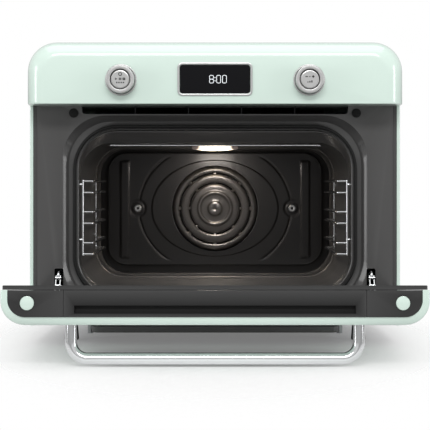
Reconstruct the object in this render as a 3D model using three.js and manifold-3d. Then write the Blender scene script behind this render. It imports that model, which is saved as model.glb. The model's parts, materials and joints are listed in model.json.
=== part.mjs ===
// A countertop convection oven with a drop-down door, shown with the door open on its stop.
// Millimetres, +Z up, the door on the -Y side. Lengths along Y start at the front frame's face
// until the whole oven is centred over its feet at the end.
import * as THREE from "three";
import { mergeVertices } from "three/addons/utils/BufferGeometryUtils.js";
import Module from "manifold-3d";

// ---------------------------------------------------------------- driving dimensions
const gap = 0.3; // between pieces that touch
const sheet = 0.9; // steel sheet

const body = { half: 249, low: 25.2, high: 402.5, radius: 38, depth: 436, lip: 4.4, lipDepth: 5 };
const plateRib = { x: 90, half: 10, high: 6, front: 40, rear: 400 };
const fascia = { half: 249, low: 320, high: 404, front: -48, radius: 39, bottomRadius: 3, wall: 2.5 };
const fasciaRound = { side: 22, top: 22, bottom: 1, corner: 14, depth: 30, steps: 4 };
const display = { z: 353, half: 49.25, halfHigh: 21.8, radius: 6.5, rim: 2.4, proud: 1.2 };
const displayPane = { thick: 2.2, proud: 0.6 };
const dial = { x: 123.4, z: 352, baseRadius: 21, baseProud: 3, radius: 18.5, proud: 16, bore: 13.6 };
const dialStem = { radius: 8, bore: 5.3, length: 16, web: 3, webFrom: 7 };
const button = { radius: 12.3, thick: 3.4, proud: 15.4, pin: 3, pinLength: 27, travel: 2 };
const encoder = { half: 12, depth: 15, boreDepth: 11 };
const board = { half: 78, low: 328, high: 376, rear: -33, thick: 1.6, chip: 8, driverHalf: 40 };

const face = { half: 244.3, low: 27, high: 336, radius: 3 };
const step = { half: 205, low: 50, high: 307.4, radius: 60 };
const rim = { half: 184, low: 66, high: 288, radius: 52 };
const recess = 10; // from the frame's face to the rim
const mouthSteps = 2; // flats in each corner of the mouth and the cavity
const vent = { half: 179, low: 310, high: 319.6, bays: 5, rib: 3, border: 3.2, sill: 308.9 };
const bumper = { x: 190, z: 311, radius: 6.4, proud: 2.4 };
const gasket = { radius: 2.4, y: 2.2, grow: 4.6 };

const cavity = { half: 184, low: 72, high: 273, radius: 34, front: 12, lip: 32, rear: 382 };
const cavityMouth = { half: 184, low: 67, high: 286, radius: 50 };
const blanket = { thick: 10, side: 3, above: 17, below: 10, radius: 24, front: 14, rear: 386, hole: 42 };
const baffle = { half: 170, low: 87, high: 265, radius: 30, front: 348, rear: 362, clear: 0.8 };
const dome = { z: 177, radius: 68, hole: 64 };
const slotRings = [
  { inner: 54, outer: 58 },
  { inner: 38, outer: 42 },
];
const slotArc = { count: 8, bridge: 8 }; // degrees of metal between neighbours
const baffleScrew = { x: 122.6, head: 6.2, thick: 2.4, shank: 2.4, length: 14 };
const fan = { radius: 60, front: 354, depth: 18, blades: 12, hub: 10, shaft: 4, shaftEnd: 398 };
const fanMotor = { radius: 34, front: 384, rear: 428, flange: 40 };
const ringHeater = { radius: 76, tube: 3.6, y: 369, legX: 9, legEnd: 392 };
const flatHeater = { tube: 3.2, half: 120, front: 70, rear: 300, runs: 4, clear: 1.5 };
const lamp = { half: 35, front: 240, rear: 298, drop: 7, cover: 2, boxHigh: 22 };
const wire = { radius: 1.6, sides: 4 };
const rack = { wallX: 180, railX: 166, front: 22, rear: 234, top: 221.5, bottom: 118 };
const railHeights = [219.5, 203.9, 177.6, 162, 135.3, 120.1];
const rackHooks = [215, 140];
const blower = { y: 190, z: 343, radius: 26, half: 118, bladeCount: 12, ductHalf: 178, ductLow: 302.5 };
const blowerMotor = { radius: 24, from: 124, to: 160 };
const powerBoard = { x0: 40, x1: 170, y0: 290, y1: 400, z: 304 };

const hinge = { x: 210, y: -15, z: 67, openDegrees: 85.6, pin: 3, bore: 3.3, half: 4.75, eye: 7.5 };
const hingeTail = { low: 80, high: 98, from: 4, to: 44, slotLow: 85, slotHigh: 93 };
const hingeSlot = { half: 6, low: 74, high: 102 };
const pocket = { half: 6.8, low: 52, high: 112, back: -34, wall: 1.7 };
const door = { half: 249, low: 57, high: 317, radius: 3, bottomRadius: 30, front: -49, rear: -8.3 };
const doorWall = 2;
const doorRound = { side: 28, top: 9.5, bottom: 9.5, corner: 8, depth: 28, steps: 4 };
const lining = { half: 246.7, low: 60, high: 316.7, radius: 3, bottomRadius: 27, front: -8, rear: -3 };
const innerGlass = { half: 194, low: 86, high: 296, radius: 14, front: -7.6, rear: -3.4 };
const pane = { half: 166, low: 96, high: 262, radius: 24, thick: 4, overlap: 6 };
const trim = { half: 240.3, seam: 175.7, front: -39.5, rear: -8.6, radius: 20, low: 308.5, high: 316.6 };
const trimSlot = { half: 163, front: -35.6, rear: -26.5 };
const plug = { x: 218, y: -23.6, radius: 8.3, deep: 5 };
const handle = { x: 170, z: 280, radius: 7.1, reach: 40, bend: 22, sides: 8, steps: 36 };

const tray = { half: 167.5, front: -3, rear: 240, low: 15.6, high: 24.2, radius: 12 };
const trayRail = { wide: 4, low: 14, ledge: 3, front: 8, rear: 300 };
const foot = { x: 198.6, radius: 10, waist: 8.5, high: 24.9, frontY: 60, rearY: 380 };
const louvre = { count: 7, pitch: 9, high: 4, half: 34, x: 120, z: 330 };
const gland = { x: 175, z: 60, radius: 9, nose: 6.5, length: 12 };

// ---------------------------------------------------------------- materials
const paint = (color, roughness, metalness) =>
  new THREE.MeshStandardMaterial({ color, roughness, metalness });
const finishes = {
  green: () => paint(0xdff2e6, 0.18, 0.05),
  enamel: () => paint(0x4a4846, 0.5, 0.3),
  cavity: () => paint(0x3a3633, 0.45, 0.4),
  trim: () => paint(0x3f3f40, 0.45, 0.2),
  chrome: () => paint(0xd8d9da, 0.1, 1),
  satin: () => paint(0xb9bab9, 0.32, 1),
  zinc: () => paint(0xa9abad, 0.45, 1),
  blackGlass: () => paint(0x0b0c0e, 0.05, 0),
  tintedGlass: () => paint(0x1a1b1d, 0.05, 0),
  lampGlass: () => paint(0xfff7e0, 0.2, 0),
  rubber: () => paint(0x1b1b1c, 0.75, 0),
  plastic: () => paint(0x2a2b2d, 0.5, 0),
  circuit: () => paint(0x1f5a3a, 0.55, 0.1),
  wool: () => paint(0xd9d4c4, 0.95, 0),
  heater: () => paint(0x55524f, 0.5, 0.8),
};

// ---------------------------------------------------------------- solids
const wasm = await Module();
wasm.setup();

const radians = (degrees) => (degrees * Math.PI) / 180;
const range = (count) => [...Array(count).keys()];

// A closed geometry as a manifold-3d solid, turned the right way out.
function solid(geometry) {
  const bare = geometry.index ? geometry.toNonIndexed() : geometry.clone();
  bare.deleteAttribute("normal");
  bare.deleteAttribute("uv");
  const merged = mergeVertices(bare, 1e-4);
  const vertProperties = merged.attributes.position.array;
  const corner = (i) => new THREE.Vector3().fromArray(vertProperties, 3 * i);
  const whole = [];
  let volume = 0;
  for (let i = 0; i < merged.index.count; i += 3) {
    const [a, b, c] = merged.index.array.slice(i, i + 3);
    if (a === b || b === c || c === a) continue;
    whole.push([a, b, c]);
    volume += corner(a).dot(corner(b).cross(corner(c)));
  }
  const triVerts = new Uint32Array(whole.flatMap((t) => (volume < 0 ? t.reverse() : t)));
  return new wasm.Manifold(new wasm.Mesh({ numProp: 3, vertProperties, triVerts }));
}

const join = (...pieces) => pieces.flat().reduce((all, piece) => all.add(piece));
const cut = (from, ...tools) => tools.flat().reduce((left, tool) => left.subtract(tool), from);

// A lofted skin through rings of points that all have the same count. It closes on itself as a
// loop, or its first and last rings are capped.
function loft(rings, loop = false) {
  const count = rings[0].length;
  const index = [];
  for (const i of range(loop ? rings.length : rings.length - 1)) {
    const a = i * count;
    const b = ((i + 1) % rings.length) * count;
    for (const j of range(count)) {
      const k = (j + 1) % count;
      index.push(a + j, a + k, b + k, a + j, b + k, b + j);
    }
  }
  const last = (rings.length - 1) * count;
  for (const j of loop ? [] : range(count - 2)) {
    index.push(0, j + 2, j + 1);
    index.push(last, last + j + 1, last + j + 2);
  }
  const geometry = new THREE.BufferGeometry().setFromPoints(rings.flat());
  return solid(geometry.setIndex(index));
}

// The points of a rounded rectangle centred on the first axis, counter-clockwise.
function outline({ half, low, high, radius, bottomRadius = radius }, grow = 0, steps = 4) {
  const top = radius + grow;
  const bottom = bottomRadius + grow;
  const corners = [
    [half + grow - bottom, low - grow + bottom, bottom, -90],
    [half + grow - top, high + grow - top, top, 0],
    [top - half - grow, high + grow - top, top, 90],
    [bottom - half - grow, low - grow + bottom, bottom, 180],
  ];
  return corners.flatMap(([x, z, r, from]) =>
    range(steps + 1).map((i) => {
      const angle = radians(from + (90 * i) / steps);
      return [x + r * Math.cos(angle), z + r * Math.sin(angle)];
    }),
  );
}

const blend = (a, b, t) =>
  Object.fromEntries(Object.keys(a).map((key) => [key, a[key] + (b[key] - a[key]) * t]));
const ringAt = (y, points) => points.map(([x, z]) => new THREE.Vector3(x, y, z));
const flatShape = (points) => new THREE.Shape(points.map(([x, y]) => new THREE.Vector2(x, y)));

function extrude(points, depth, holes = []) {
  const shape = flatShape(points);
  shape.holes = holes.map(flatShape);
  return new THREE.ExtrudeGeometry(shape, { depth, bevelEnabled: false });
}
// A plate whose outline lies in XZ, from y0 to y1.
const plateY = (points, y0, y1, holes) =>
  solid(extrude(points, y1 - y0, holes).rotateX(Math.PI / 2).translate(0, y1, 0));
// A plate whose outline lies in XY, from z0 to z1.
const plateZ = (points, z0, z1, holes) => solid(extrude(points, z1 - z0, holes).translate(0, 0, z0));
// A plate whose outline lies in YZ, from x0 to x1.
const yzPlane = new THREE.Matrix4().makeBasis(
  new THREE.Vector3(0, 1, 0),
  new THREE.Vector3(0, 0, 1),
  new THREE.Vector3(1, 0, 0),
);
const plateX = (points, x0, x1, holes) =>
  solid(extrude(points, x1 - x0, holes).applyMatrix4(yzPlane).translate(x0, 0, 0));

function box(x0, x1, y0, y1, z0, z1) {
  const geometry = new THREE.BoxGeometry(x1 - x0, y1 - y0, z1 - z0);
  return solid(geometry.translate((x0 + x1) / 2, (y0 + y1) / 2, (z0 + z1) / 2));
}

// A round rod between two points.
function rod(from, to, radius, sides = 16) {
  const a = new THREE.Vector3(...from);
  const b = new THREE.Vector3(...to);
  const geometry = new THREE.CylinderGeometry(radius, radius, a.distanceTo(b), sides);
  const along = b.clone().sub(a).normalize();
  geometry.applyQuaternion(new THREE.Quaternion().setFromUnitVectors(THREE.Object3D.DEFAULT_UP, along));
  return solid(geometry.translate(...a.add(b).multiplyScalar(0.5)));
}
// Rods from point to point, each running a little past its bends so that they close.
function bentRod(points, radius, sides) {
  return join(
    range(points.length - 1).map((i) => {
      const a = new THREE.Vector3(...points[i]);
      const b = new THREE.Vector3(...points[i + 1]);
      const past = b.clone().sub(a).setLength(radius * 0.4);
      if (i > 0) a.sub(past);
      if (i < points.length - 2) b.add(past);
      return rod(a, b, radius, sides);
    }),
  );
}
// A turned piece: the profile's points are [radius, y], turned about a line along Y.
function turned(profile, x, z, sides = 18) {
  const points = profile.map(([r, y]) => new THREE.Vector2(r, y));
  return solid(new THREE.LatheGeometry(points, sides).translate(x, 0, z));
}
const loopOf = (profile) => [...profile, profile[0]];

// ---------------------------------------------------------------- assembly
const oven = new THREE.Group();
const cabinet = new THREE.Group();
const doorGroup = new THREE.Group();
cabinet.add(doorGroup);
oven.add(cabinet);

function piece(name, made, finish, parent = cabinet) {
  const { numProp, numVert, vertProperties, triVerts } = made.getMesh();
  const position = new Float32Array(numVert * 3);
  for (const i of range(numVert)) {
    position.set(vertProperties.subarray(i * numProp, i * numProp + 3), i * 3);
  }
  const geometry = new THREE.BufferGeometry();
  geometry.setAttribute("position", new THREE.BufferAttribute(position, 3));
  geometry.setIndex(new THREE.BufferAttribute(triVerts, 1));
  const mesh = new THREE.Mesh(geometry, finishes[finish]());
  mesh.name = name;
  parent.add(mesh);
  return mesh;
}
// The door's pieces are drawn closed, and hang in a group that turns about the hinge line.
doorGroup.position.set(0, hinge.y, hinge.z);
doorGroup.rotation.x = radians(hinge.openDegrees);
function doorPiece(name, made, finish) {
  piece(name, made, finish, doorGroup).position.set(0, -hinge.y, -hinge.z);
}
const sides = [
  ["left", -1],
  ["right", 1],
];

// ---------------------------------------------------------------- cabinet sheet metal
// An upside-down U of sheet that follows the body's outline.
function arch(wall, y0, y1) {
  const { half, low, high, radius } = body;
  const below = 60; // the outline runs on below the body, and is cut off level with it
  const outer = { half, low: low - below, high, radius, bottomRadius: 5 };
  const ring = plateY(outline(outer), y0, y1, [outline(outer, -wall)]);
  return cut(ring, box(-half - 1, half + 1, y0 - 1, y1 + 1, low - below - 1, low));
}

function outerCasing() {
  return join(arch(sheet, 0, body.depth), arch(body.lip, 0, body.lipDepth));
}

function basePlate() {
  const { x, half, high, front, rear } = plateRib;
  const inset = body.half - sheet - 1;
  const ribs = [-x, x].map((at) => box(at - half, at + half, front, rear, body.low, body.low + high));
  return join(box(-inset, inset, body.lipDepth + gap, body.depth - gap, body.low, body.low + sheet), ribs);
}

function rearCover() {
  const cover = { half: body.half, low: body.low, high: body.high, radius: body.radius, bottomRadius: 4 };
  const near = body.depth - 5;
  const far = body.depth + 5;
  const slots = [-louvre.x, louvre.x].flatMap((x) =>
    range(louvre.count).map((i) => {
      const z = louvre.z - i * louvre.pitch;
      return box(x - louvre.half, x + louvre.half, near, far, z, z + louvre.high);
    }),
  );
  const hole = rod([gland.x, near, gland.z], [gland.x, far, gland.z], gland.nose + gap);
  return cut(plateY(outline(cover), body.depth + gap, body.depth + gap + sheet), slots, hole);
}

// The frame round the oven's mouth: a flat plate, and a band that slopes in to a rounded rim.
function frontFrame() {
  const plate = plateY(outline(face), 0, sheet, [outline(step)]);
  const profile = [
    [0, sheet, 0],
    [0, 0, 0],
    [0.35, 0, recess - 2.5],
    [0.9, 0, recess - 1],
    [1, 1, recess - 0.8],
    [1, 0, recess],
    [1, 0, recess + sheet],
    [0.35, 0.4, recess - 1.4],
    [0, 0.6, sheet],
    [0, sheet, sheet],
  ];
  const ring = ([t, grow, y]) => ringAt(y, outline(blend(step, rim, t), grow, mouthSteps));
  const band = loft(profile.map(ring), true);
  const half = vent.half + vent.border + gap;
  const aboveBand = box(-half, half, -1, sheet + 1, vent.sill - gap, face.high + 1);
  const hingeSlots = [-hinge.x, hinge.x].map((x) =>
    box(x - hingeSlot.half, x + hingeSlot.half, -2, recess + 6, hingeSlot.low, hingeSlot.high),
  );
  return cut(join(plate, band), aboveBand, hingeSlots);
}

// The slotted strip over the mouth, through which the cooling air leaves.
function ventGrille() {
  const half = vent.half + vent.border;
  const bay = (2 * vent.half) / vent.bays;
  const bays = range(vent.bays).map((i) => {
    const x = -vent.half + i * bay;
    return box(x + vent.rib / 2, x + bay - vent.rib / 2, -1, sheet + 1, vent.low, vent.high);
  });
  return cut(box(-half, half, 0, sheet, vent.sill, face.high), bays);
}

function doorBumper(x) {
  const profile = [
    [0, -bumper.proud],
    [bumper.radius - 1, -bumper.proud],
    [bumper.radius, -gap],
    [0, -gap],
  ];
  return turned(profile, x, bumper.z, 14);
}

function doorGasket() {
  const rings = range(6).map((i) => {
    const angle = radians(60 * i);
    const grow = gasket.grow + gasket.radius * Math.cos(angle);
    return ringAt(gasket.y + gasket.radius * Math.sin(angle), outline(rim, grow));
  });
  return loft(rings, true);
}

// ---------------------------------------------------------------- control panel
// Rings of a cover whose front edges are rounded: the sides, top and bottom draw in by their own
// widths along a quarter of an ellipse.
function roundedRings(shape, round, front, rear, grow) {
  const steps = range(round.steps + 1).map((i) => radians((90 * i) / round.steps));
  const rings = steps.map((t) => {
    const inward = 1 - Math.cos(t);
    const drawn = {
      half: shape.half - round.side * inward,
      low: shape.low + round.bottom * inward,
      high: shape.high - round.top * inward,
      radius: Math.max(shape.radius - round.corner * inward, 3),
      bottomRadius: Math.max(shape.bottomRadius - round.corner * inward, 3),
    };
    const y = front + round.depth * (1 - Math.sin(t));
    return ringAt(y, outline(drawn, grow));
  });
  return [ringAt(rear, outline(shape, grow)), ...rings];
}

function controlPanel() {
  const skin = loft(roundedRings(fascia, fasciaRound, fascia.front, -gap, 0));
  const inside = loft(roundedRings(fascia, fasciaRound, fascia.front + fascia.wall, 1, -fascia.wall));
  const stems = [-dial.x, dial.x].map((x) =>
    rod([x, fascia.front - 1, dial.z], [x, fascia.front + 5, dial.z], dialStem.radius + gap, 16),
  );
  const window = { half: display.half - display.rim, radius: display.radius - display.rim };
  window.low = display.z - display.halfHigh + display.rim;
  window.high = display.z + display.halfHigh - display.rim;
  const opening = plateY(outline(window, gap, 3), fascia.front - 1, fascia.front + 5);
  return cut(skin, inside, stems, opening);
}

function displayBezel() {
  const { z, half, halfHigh, radius, rim: width, proud } = display;
  const outer = { half, low: z - halfHigh, high: z + halfHigh, radius };
  const back = fascia.front - gap;
  return plateY(outline(outer), back - proud, back, [outline(outer, -width - gap)]);
}

function displayGlass() {
  const { z, half, halfHigh, radius, rim: width } = display;
  const outer = { half, low: z - halfHigh, high: z + halfHigh, radius };
  const front = fascia.front - displayPane.proud;
  return plateY(outline(outer, -width - 2 * gap), front, front + displayPane.thick);
}

function controlBoard() {
  const { half, low, high, rear, thick, chip, driverHalf } = board;
  const plate = box(-half, half, rear - thick, rear, low, high);
  const driver = box(-driverHalf, driverHalf, rear - thick - chip, rear - 1, low + 10, high - 10);
  const relays = [-60, -52, 52, 60].map((x) =>
    box(x - 3, x + 3, rear - 0.5, rear + chip, low + 8, high - 12),
  );
  return join(plate, driver, relays);
}

function dialBase(x) {
  const front = fascia.front - dial.baseProud;
  const profile = [
    [dial.radius + 0.5, fascia.front - gap],
    [dial.baseRadius, fascia.front - gap],
    [dial.baseRadius, front + 1.2],
    [dial.baseRadius - 1.2, front],
    [dial.radius + 0.5, front],
  ];
  return turned(loopOf(profile), x, dial.z);
}

// The dial's rim, the web behind its button, and the hollow stem into the encoder.
function dialKnob(x) {
  const front = fascia.front - dial.proud;
  const back = fascia.front - 1;
  const web = front + dialStem.webFrom;
  const profile = [
    [dial.bore, front],
    [dial.radius - 1.2, front],
    [dial.radius, front + 1.2],
    [dial.radius, back],
    [dial.radius - 3, back],
    [dial.radius - 3, web + dialStem.web],
    [dialStem.radius, web + dialStem.web],
    [dialStem.radius, web + dialStem.length],
    [dialStem.bore, web + dialStem.length],
    [dialStem.bore, web],
    [dial.bore, web],
  ];
  return turned(loopOf(profile), x, dial.z);
}

function pushButton(x) {
  const front = fascia.front - button.proud;
  const profile = [
    [0, front],
    [button.radius - 0.8, front],
    [button.radius, front + 0.8],
    [button.radius, front + button.thick],
    [button.pin, front + button.thick],
    [button.pin, front + button.pinLength],
    [0, front + button.pinLength],
  ];
  return turned(profile, x, dial.z);
}

function encoderBlock(x) {
  const front = fascia.front + fascia.wall + gap;
  const block = box(
    x - encoder.half,
    x + encoder.half,
    front,
    front + encoder.depth,
    dial.z - encoder.half,
    dial.z + encoder.half,
  );
  const wide = rod([x, front - 1, dial.z], [x, front + encoder.boreDepth, dial.z], dialStem.radius + gap);
  const narrow = rod([x, front - 1, dial.z], [x, front + encoder.depth - 1, dial.z], button.pin + gap);
  return cut(block, wide, narrow);
}

// ---------------------------------------------------------------- cavity
function cavityLiner() {
  const stations = [
    [cavity.front, 1],
    [cavity.lip, 0],
    [cavity.rear, 0],
  ];
  const ring = ([y, t], grow) => ringAt(y, outline(blend(cavity, cavityMouth, t), grow, mouthSteps));
  const inner = stations.map((station) => ring(station, 0)).reverse();
  const outer = stations.map((station) => ring(station, sheet));
  outer[outer.length - 1] = ringAt(cavity.rear + sheet, outline(cavity, sheet, mouthSteps));
  // One slot in the back takes the fan's shaft and the ring heater's legs.
  const slotHalf = ringHeater.legX + ringHeater.tube + gap;
  const slotHigh = dome.z + ringHeater.radius + ringHeater.tube + gap;
  const slot = box(-slotHalf, slotHalf, cavity.rear - 5, cavity.rear + 5, dome.z - 8, slotHigh);
  const { half, front, rear, cover } = lamp;
  const ceiling = cavity.high;
  const lampHole = box(cover - half, half - cover, front + cover, rear - cover, ceiling - 5, ceiling + 5);
  return cut(loft([...inner, ...outer]), slot, lampHole);
}

function insulationBlanket() {
  const { thick, side, above, below, radius, front, rear, hole } = blanket;
  const inner = {
    half: cavity.half + side,
    low: cavity.low - below,
    high: cavity.high + above,
    radius,
  };
  const rings = [
    ringAt(rear, outline(inner)),
    ringAt(front, outline(inner)),
    ringAt(front, outline(inner, thick)),
    ringAt(rear + thick, outline(inner, thick)),
  ];
  const near = rear - 5;
  const far = rear + thick + 5;
  const motorHole = rod([0, near, dome.z], [0, far, dome.z], hole);
  const legSlot = box(-20, 20, near, far, dome.z, dome.z + ringHeater.radius + 10);
  const lampHalf = lamp.half + 3;
  const lampGap = box(-lampHalf, lampHalf, lamp.front - 3, lamp.rear + 3, inner.high - 5, inner.high + 20);
  return cut(loft(rings), motorHole, legSlot, lampGap);
}

// A slot that runs round the dome's axis, between two radii, from one angle to the other.
function arcSlot({ inner, outer }, from, to) {
  const steps = 4;
  const at = (radius, i) => {
    const angle = radians(from + ((to - from) * i) / steps);
    return [radius * Math.cos(angle), radius * Math.sin(angle)];
  };
  const along = range(steps + 1);
  const points = [...along.map((i) => at(outer, i)), ...along.reverse().map((i) => at(inner, i))];
  return plateY(points, baffle.front - 20, baffle.front + 5).translate([0, 0, dome.z]);
}

// The dished plate in front of the fan, with a slotted dome at its middle.
function fanBaffle() {
  const deep = baffle.rear - baffle.front;
  const inset = -baffle.clear;
  const profile = [
    [1, 0, 0],
    [0.45, inset, deep * 0.2],
    [0.1, inset, deep * 0.6],
    [0, inset, deep],
    [0, inset - sheet, deep],
    [0.1, inset - sheet, deep * 0.6 + sheet * 0.4],
    [0.45, inset - sheet, deep * 0.2 + sheet],
    [1, -sheet, sheet],
  ];
  const y = baffle.front;
  const ring = ([t, grow, at]) => ringAt(y + at, outline(blend(cavity, baffle, t), grow, mouthSteps));
  const plate = loft(profile.map(ring));
  const hole = rod([0, y - 3, dome.z], [0, y + 5, dome.z], dome.hole, 24);
  const skin = [
    [dome.radius, y],
    [65, y - 6],
    [60, y - 11],
    [29, y - 12],
    [27, y - 12],
    [25, y - 14.5],
    [22, y - 12],
    [11, y - 12],
    [10, y - 15],
    [0, y - 15],
  ];
  const under = skin.map(([r, at]) => [Math.max(r - 0.6, 0), at + sheet]).reverse();
  const cap = turned([...under, ...skin], 0, dome.z, 24);
  const pitch = 360 / slotArc.count;
  const slots = slotRings.flatMap((ring) =>
    range(slotArc.count).map((i) =>
      arcSlot(ring, i * pitch + slotArc.bridge / 2, (i + 1) * pitch - slotArc.bridge / 2),
    ),
  );
  const screws = [-baffleScrew.x, baffleScrew.x].map((x) =>
    rod([x, y - 3, dome.z], [x, y + 5, dome.z], baffleScrew.shank + gap, 10),
  );
  return cut(join(cut(plate, hole), cap), slots, screws);
}

function baffleScrewPiece(x) {
  const front = baffle.front - gap - baffleScrew.thick;
  const profile = [
    [0, front],
    [baffleScrew.head - 1.5, front],
    [baffleScrew.head, front + 1.2],
    [baffleScrew.head, baffle.front - gap],
    [baffleScrew.shank, baffle.front - gap],
    [baffleScrew.shank, baffle.front + baffleScrew.length],
    [0, baffle.front + baffleScrew.length],
  ];
  return turned(profile, x, dome.z, 12);
}

function fanImpeller() {
  const { radius, front, depth, blades, hub, shaft, shaftEnd } = fan;
  const plate = rod([0, front + depth - sheet, dome.z], [0, front + depth, dome.z], radius, 24);
  const boss = rod([0, front + 4, dome.z], [0, front + depth, dome.z], hub, 16);
  const spindle = rod([0, front + depth - 1, dome.z], [0, shaftEnd, dome.z], shaft, 12);
  const vanes = range(blades).map((i) => {
    const geometry = new THREE.BoxGeometry(30, depth, sheet);
    geometry.rotateY(radians(25)).translate(radius - 17, front + depth / 2, 0);
    return solid(geometry.rotateY(radians((360 * i) / blades)).translate(0, 0, dome.z));
  });
  return join(plate, boss, spindle, vanes);
}

function fanMotorPiece() {
  const { radius, front, rear, flange } = fanMotor;
  const profile = [
    [fan.shaft + gap, front],
    [flange, front],
    [flange, front + 2],
    [radius, front + 2],
    [radius, rear - 6],
    [radius - 8, rear],
    [0, rear],
    [0, fan.shaftEnd + 2],
    [fan.shaft + gap, fan.shaftEnd + 2],
  ];
  return turned(loopOf(profile), 0, dome.z, 24);
}

function ringHeaterPiece() {
  const { radius, tube, y, legX, legEnd } = ringHeater;
  const torus = new THREE.TorusGeometry(radius, tube, 6, 24).rotateX(Math.PI / 2);
  const loop = solid(torus.translate(0, y, dome.z));
  const z = dome.z + radius - 0.5;
  const legs = [-legX, legX].map((x) => rod([x, y, z], [x, legEnd, z], tube - 0.4, 8));
  return join(loop, legs);
}

// A sheathed heating rod folded in equal runs, level with the ceiling or the floor.
const heaterOff = sheet + flatHeater.tube + flatHeater.clear;
function flatHeaterPiece(z) {
  const { tube, half, front, rear, runs } = flatHeater;
  const pitch = (2 * half) / (runs - 1);
  const points = range(runs).flatMap((i) => {
    const x = -half + i * pitch;
    return i % 2 ? [[x, rear, z], [x, front, z]] : [[x, front, z], [x, rear, z]];
  });
  return bentRod(points, tube, 6);
}

function lampHousing() {
  const { half, front, rear, cover, boxHigh } = lamp;
  const foot = cavity.high + sheet + gap;
  const top = foot + boxHigh;
  const can = box(-half, half, front, rear, foot, top);
  const hollow = box(cover - half, half - cover, front + cover, rear - cover, foot - 1, top - cover);
  return cut(can, hollow);
}

function lampLens() {
  const { half, front, rear, drop, cover } = lamp;
  const z = cavity.high - gap;
  const low = { half: half - 3, low: front + 3, high: rear - 3, radius: 4 };
  const wide = { half, low: front, high: rear, radius: 6 };
  const level = (shape, at) => outline(shape, 0, 3).map(([x, y]) => new THREE.Vector3(x, y, at));
  const glass = loft([level(low, z - drop), level(wide, z - drop + 3), level(wide, z)]);
  const seat = cover + 2 * gap;
  return join(glass, box(-half + seat, half - seat, front + seat, rear - seat, z - 1, z + 4));
}

// A shelf support: two uprights by the wall, and rails that stand off into the cavity.
function sideRack(side) {
  const { wallX, railX, front, rear, top, bottom } = rack;
  const { radius, sides: count } = wire;
  const uprights = [front, rear].map((y) =>
    rod([side * wallX, y, bottom], [side * wallX, y, top], radius, count),
  );
  const rails = railHeights.map((z) => {
    const run = [
      [wallX, front, z],
      [railX, front + 4, z],
      [railX, rear - 4, z],
      [wallX, rear, z],
    ];
    return bentRod(run.map(([x, y, at]) => [side * x, y, at]), radius, count);
  });
  const hooks = [front, rear].flatMap((y) =>
    rackHooks.map((z) => rod([side * wallX, y, z], [side * (cavity.half - gap), y, z], radius + 1, 8)),
  );
  return join(uprights, rails, hooks);
}

// ---------------------------------------------------------------- cooling and wiring
function blowerHousing() {
  const { y, z, radius, ductHalf, ductLow } = blower;
  const reach = radius + 6;
  const curl = range(9).map((i) => {
    const angle = radians(-60 + 30 * i);
    return [y + reach * Math.cos(angle), z + reach * Math.sin(angle)];
  });
  const path = [[8, ductLow], [y, ductLow], ...curl];
  const offset = path.map(([py, pz], i) => {
    const [ay, az] = path[Math.max(i - 1, 0)];
    const [by, bz] = path[Math.min(i + 1, path.length - 1)];
    const length = Math.hypot(by - ay, bz - az);
    return [py + ((bz - az) / length) * sheet, pz - ((by - ay) / length) * sheet];
  });
  return plateX([...path, ...offset.reverse()], -ductHalf, ductHalf);
}

function blowerWheel() {
  const { y, z, radius, half, bladeCount } = blower;
  const ends = [-half, half - 2].map((x) => rod([x, y, z], [x + 2, y, z], radius, 20));
  const spindle = rod([-half, y, z], [blowerMotor.from + 8, y, z], 3, 8);
  const vanes = range(bladeCount).map((i) => {
    const angle = radians((360 * i) / bladeCount);
    const at = (r, turn) => [y + r * Math.cos(angle + turn), z + r * Math.sin(angle + turn)];
    const strip = [at(radius - 9, 0), at(radius - 0.5, 0.12), at(radius - 1.5, 0.17), at(radius - 9, 0.08)];
    return plateX(strip, -half + 1, half - 1);
  });
  return join(ends, spindle, vanes);
}

function blowerMotorPiece() {
  const { y, z } = blower;
  const can = rod([blowerMotor.from, y, z], [blowerMotor.to, y, z], blowerMotor.radius, 20);
  return cut(can, rod([blowerMotor.from - 1, y, z], [blowerMotor.from + 10, y, z], 3 + gap, 10));
}

function powerBoardPiece() {
  const { x0, x1, y0, y1, z } = powerBoard;
  const plate = box(x0, x1, y0, y1, z, z + 1.6);
  const relays = [12, 52, 92].map((x) => box(x0 + x, x0 + x + 22, y0 + 12, y0 + 40, z + 1, z + 18));
  const coil = box(x0 + 14, x0 + 60, y1 - 50, y1 - 12, z + 1, z + 34);
  return join(plate, relays, coil);
}

// ---------------------------------------------------------------- door hinges
function hingeArm(x) {
  const { y, z, eye, half } = hinge;
  const round = range(7).map((i) => {
    const angle = radians(-45 - 30 * i);
    return [y + eye * Math.cos(angle), z + eye * Math.sin(angle)];
  });
  const { low, high, from, to, slotLow, slotHigh } = hingeTail;
  const points = [[to, low], [from, low], ...round, [-from, high], [to, high]];
  const bore = rod([x - 20, y, z], [x + 20, y, z], hinge.bore, 16);
  const slot = box(x - 20, x + 20, from + 4, to - 8, slotLow, slotHigh);
  return cut(plateX(points, x - half, x + half), bore, slot);
}

// The door's half of a hinge: a channel in the door with the pin across it.
function doorHinge(x) {
  const { half, wall, back } = pocket;
  const outer = half + wall;
  const { y, z, pin } = hinge;
  const channel = box(x - outer, x + outer, back, -10, z - 7, pocket.high);
  const hollow = box(x - half, x + half, back + wall, 0, pocket.low, pocket.high + 1);
  return join(cut(channel, hollow), rod([x - outer, y, z], [x + outer, y, z], pin));
}

const hingePockets = () =>
  [-hinge.x, hinge.x].map((x) =>
    box(x - pocket.half - 2, x + pocket.half + 2, pocket.back - gap, 1, pocket.low, hinge.z + 1),
  );

// ---------------------------------------------------------------- door
function doorShell() {
  const skin = loft(roundedRings(door, doorRound, door.front, door.rear, 0));
  const inside = loft(roundedRings(door, doorRound, door.front + doorWall, 1, -doorWall));
  const window = plateY(outline(pane), door.front - 2, door.front + 6);
  const top = plateZ(trimOutline(-trim.half, trim.half, gap), trim.low - gap - 6, door.high + 5);
  return cut(skin, inside, window, top, hingePockets());
}

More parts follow.
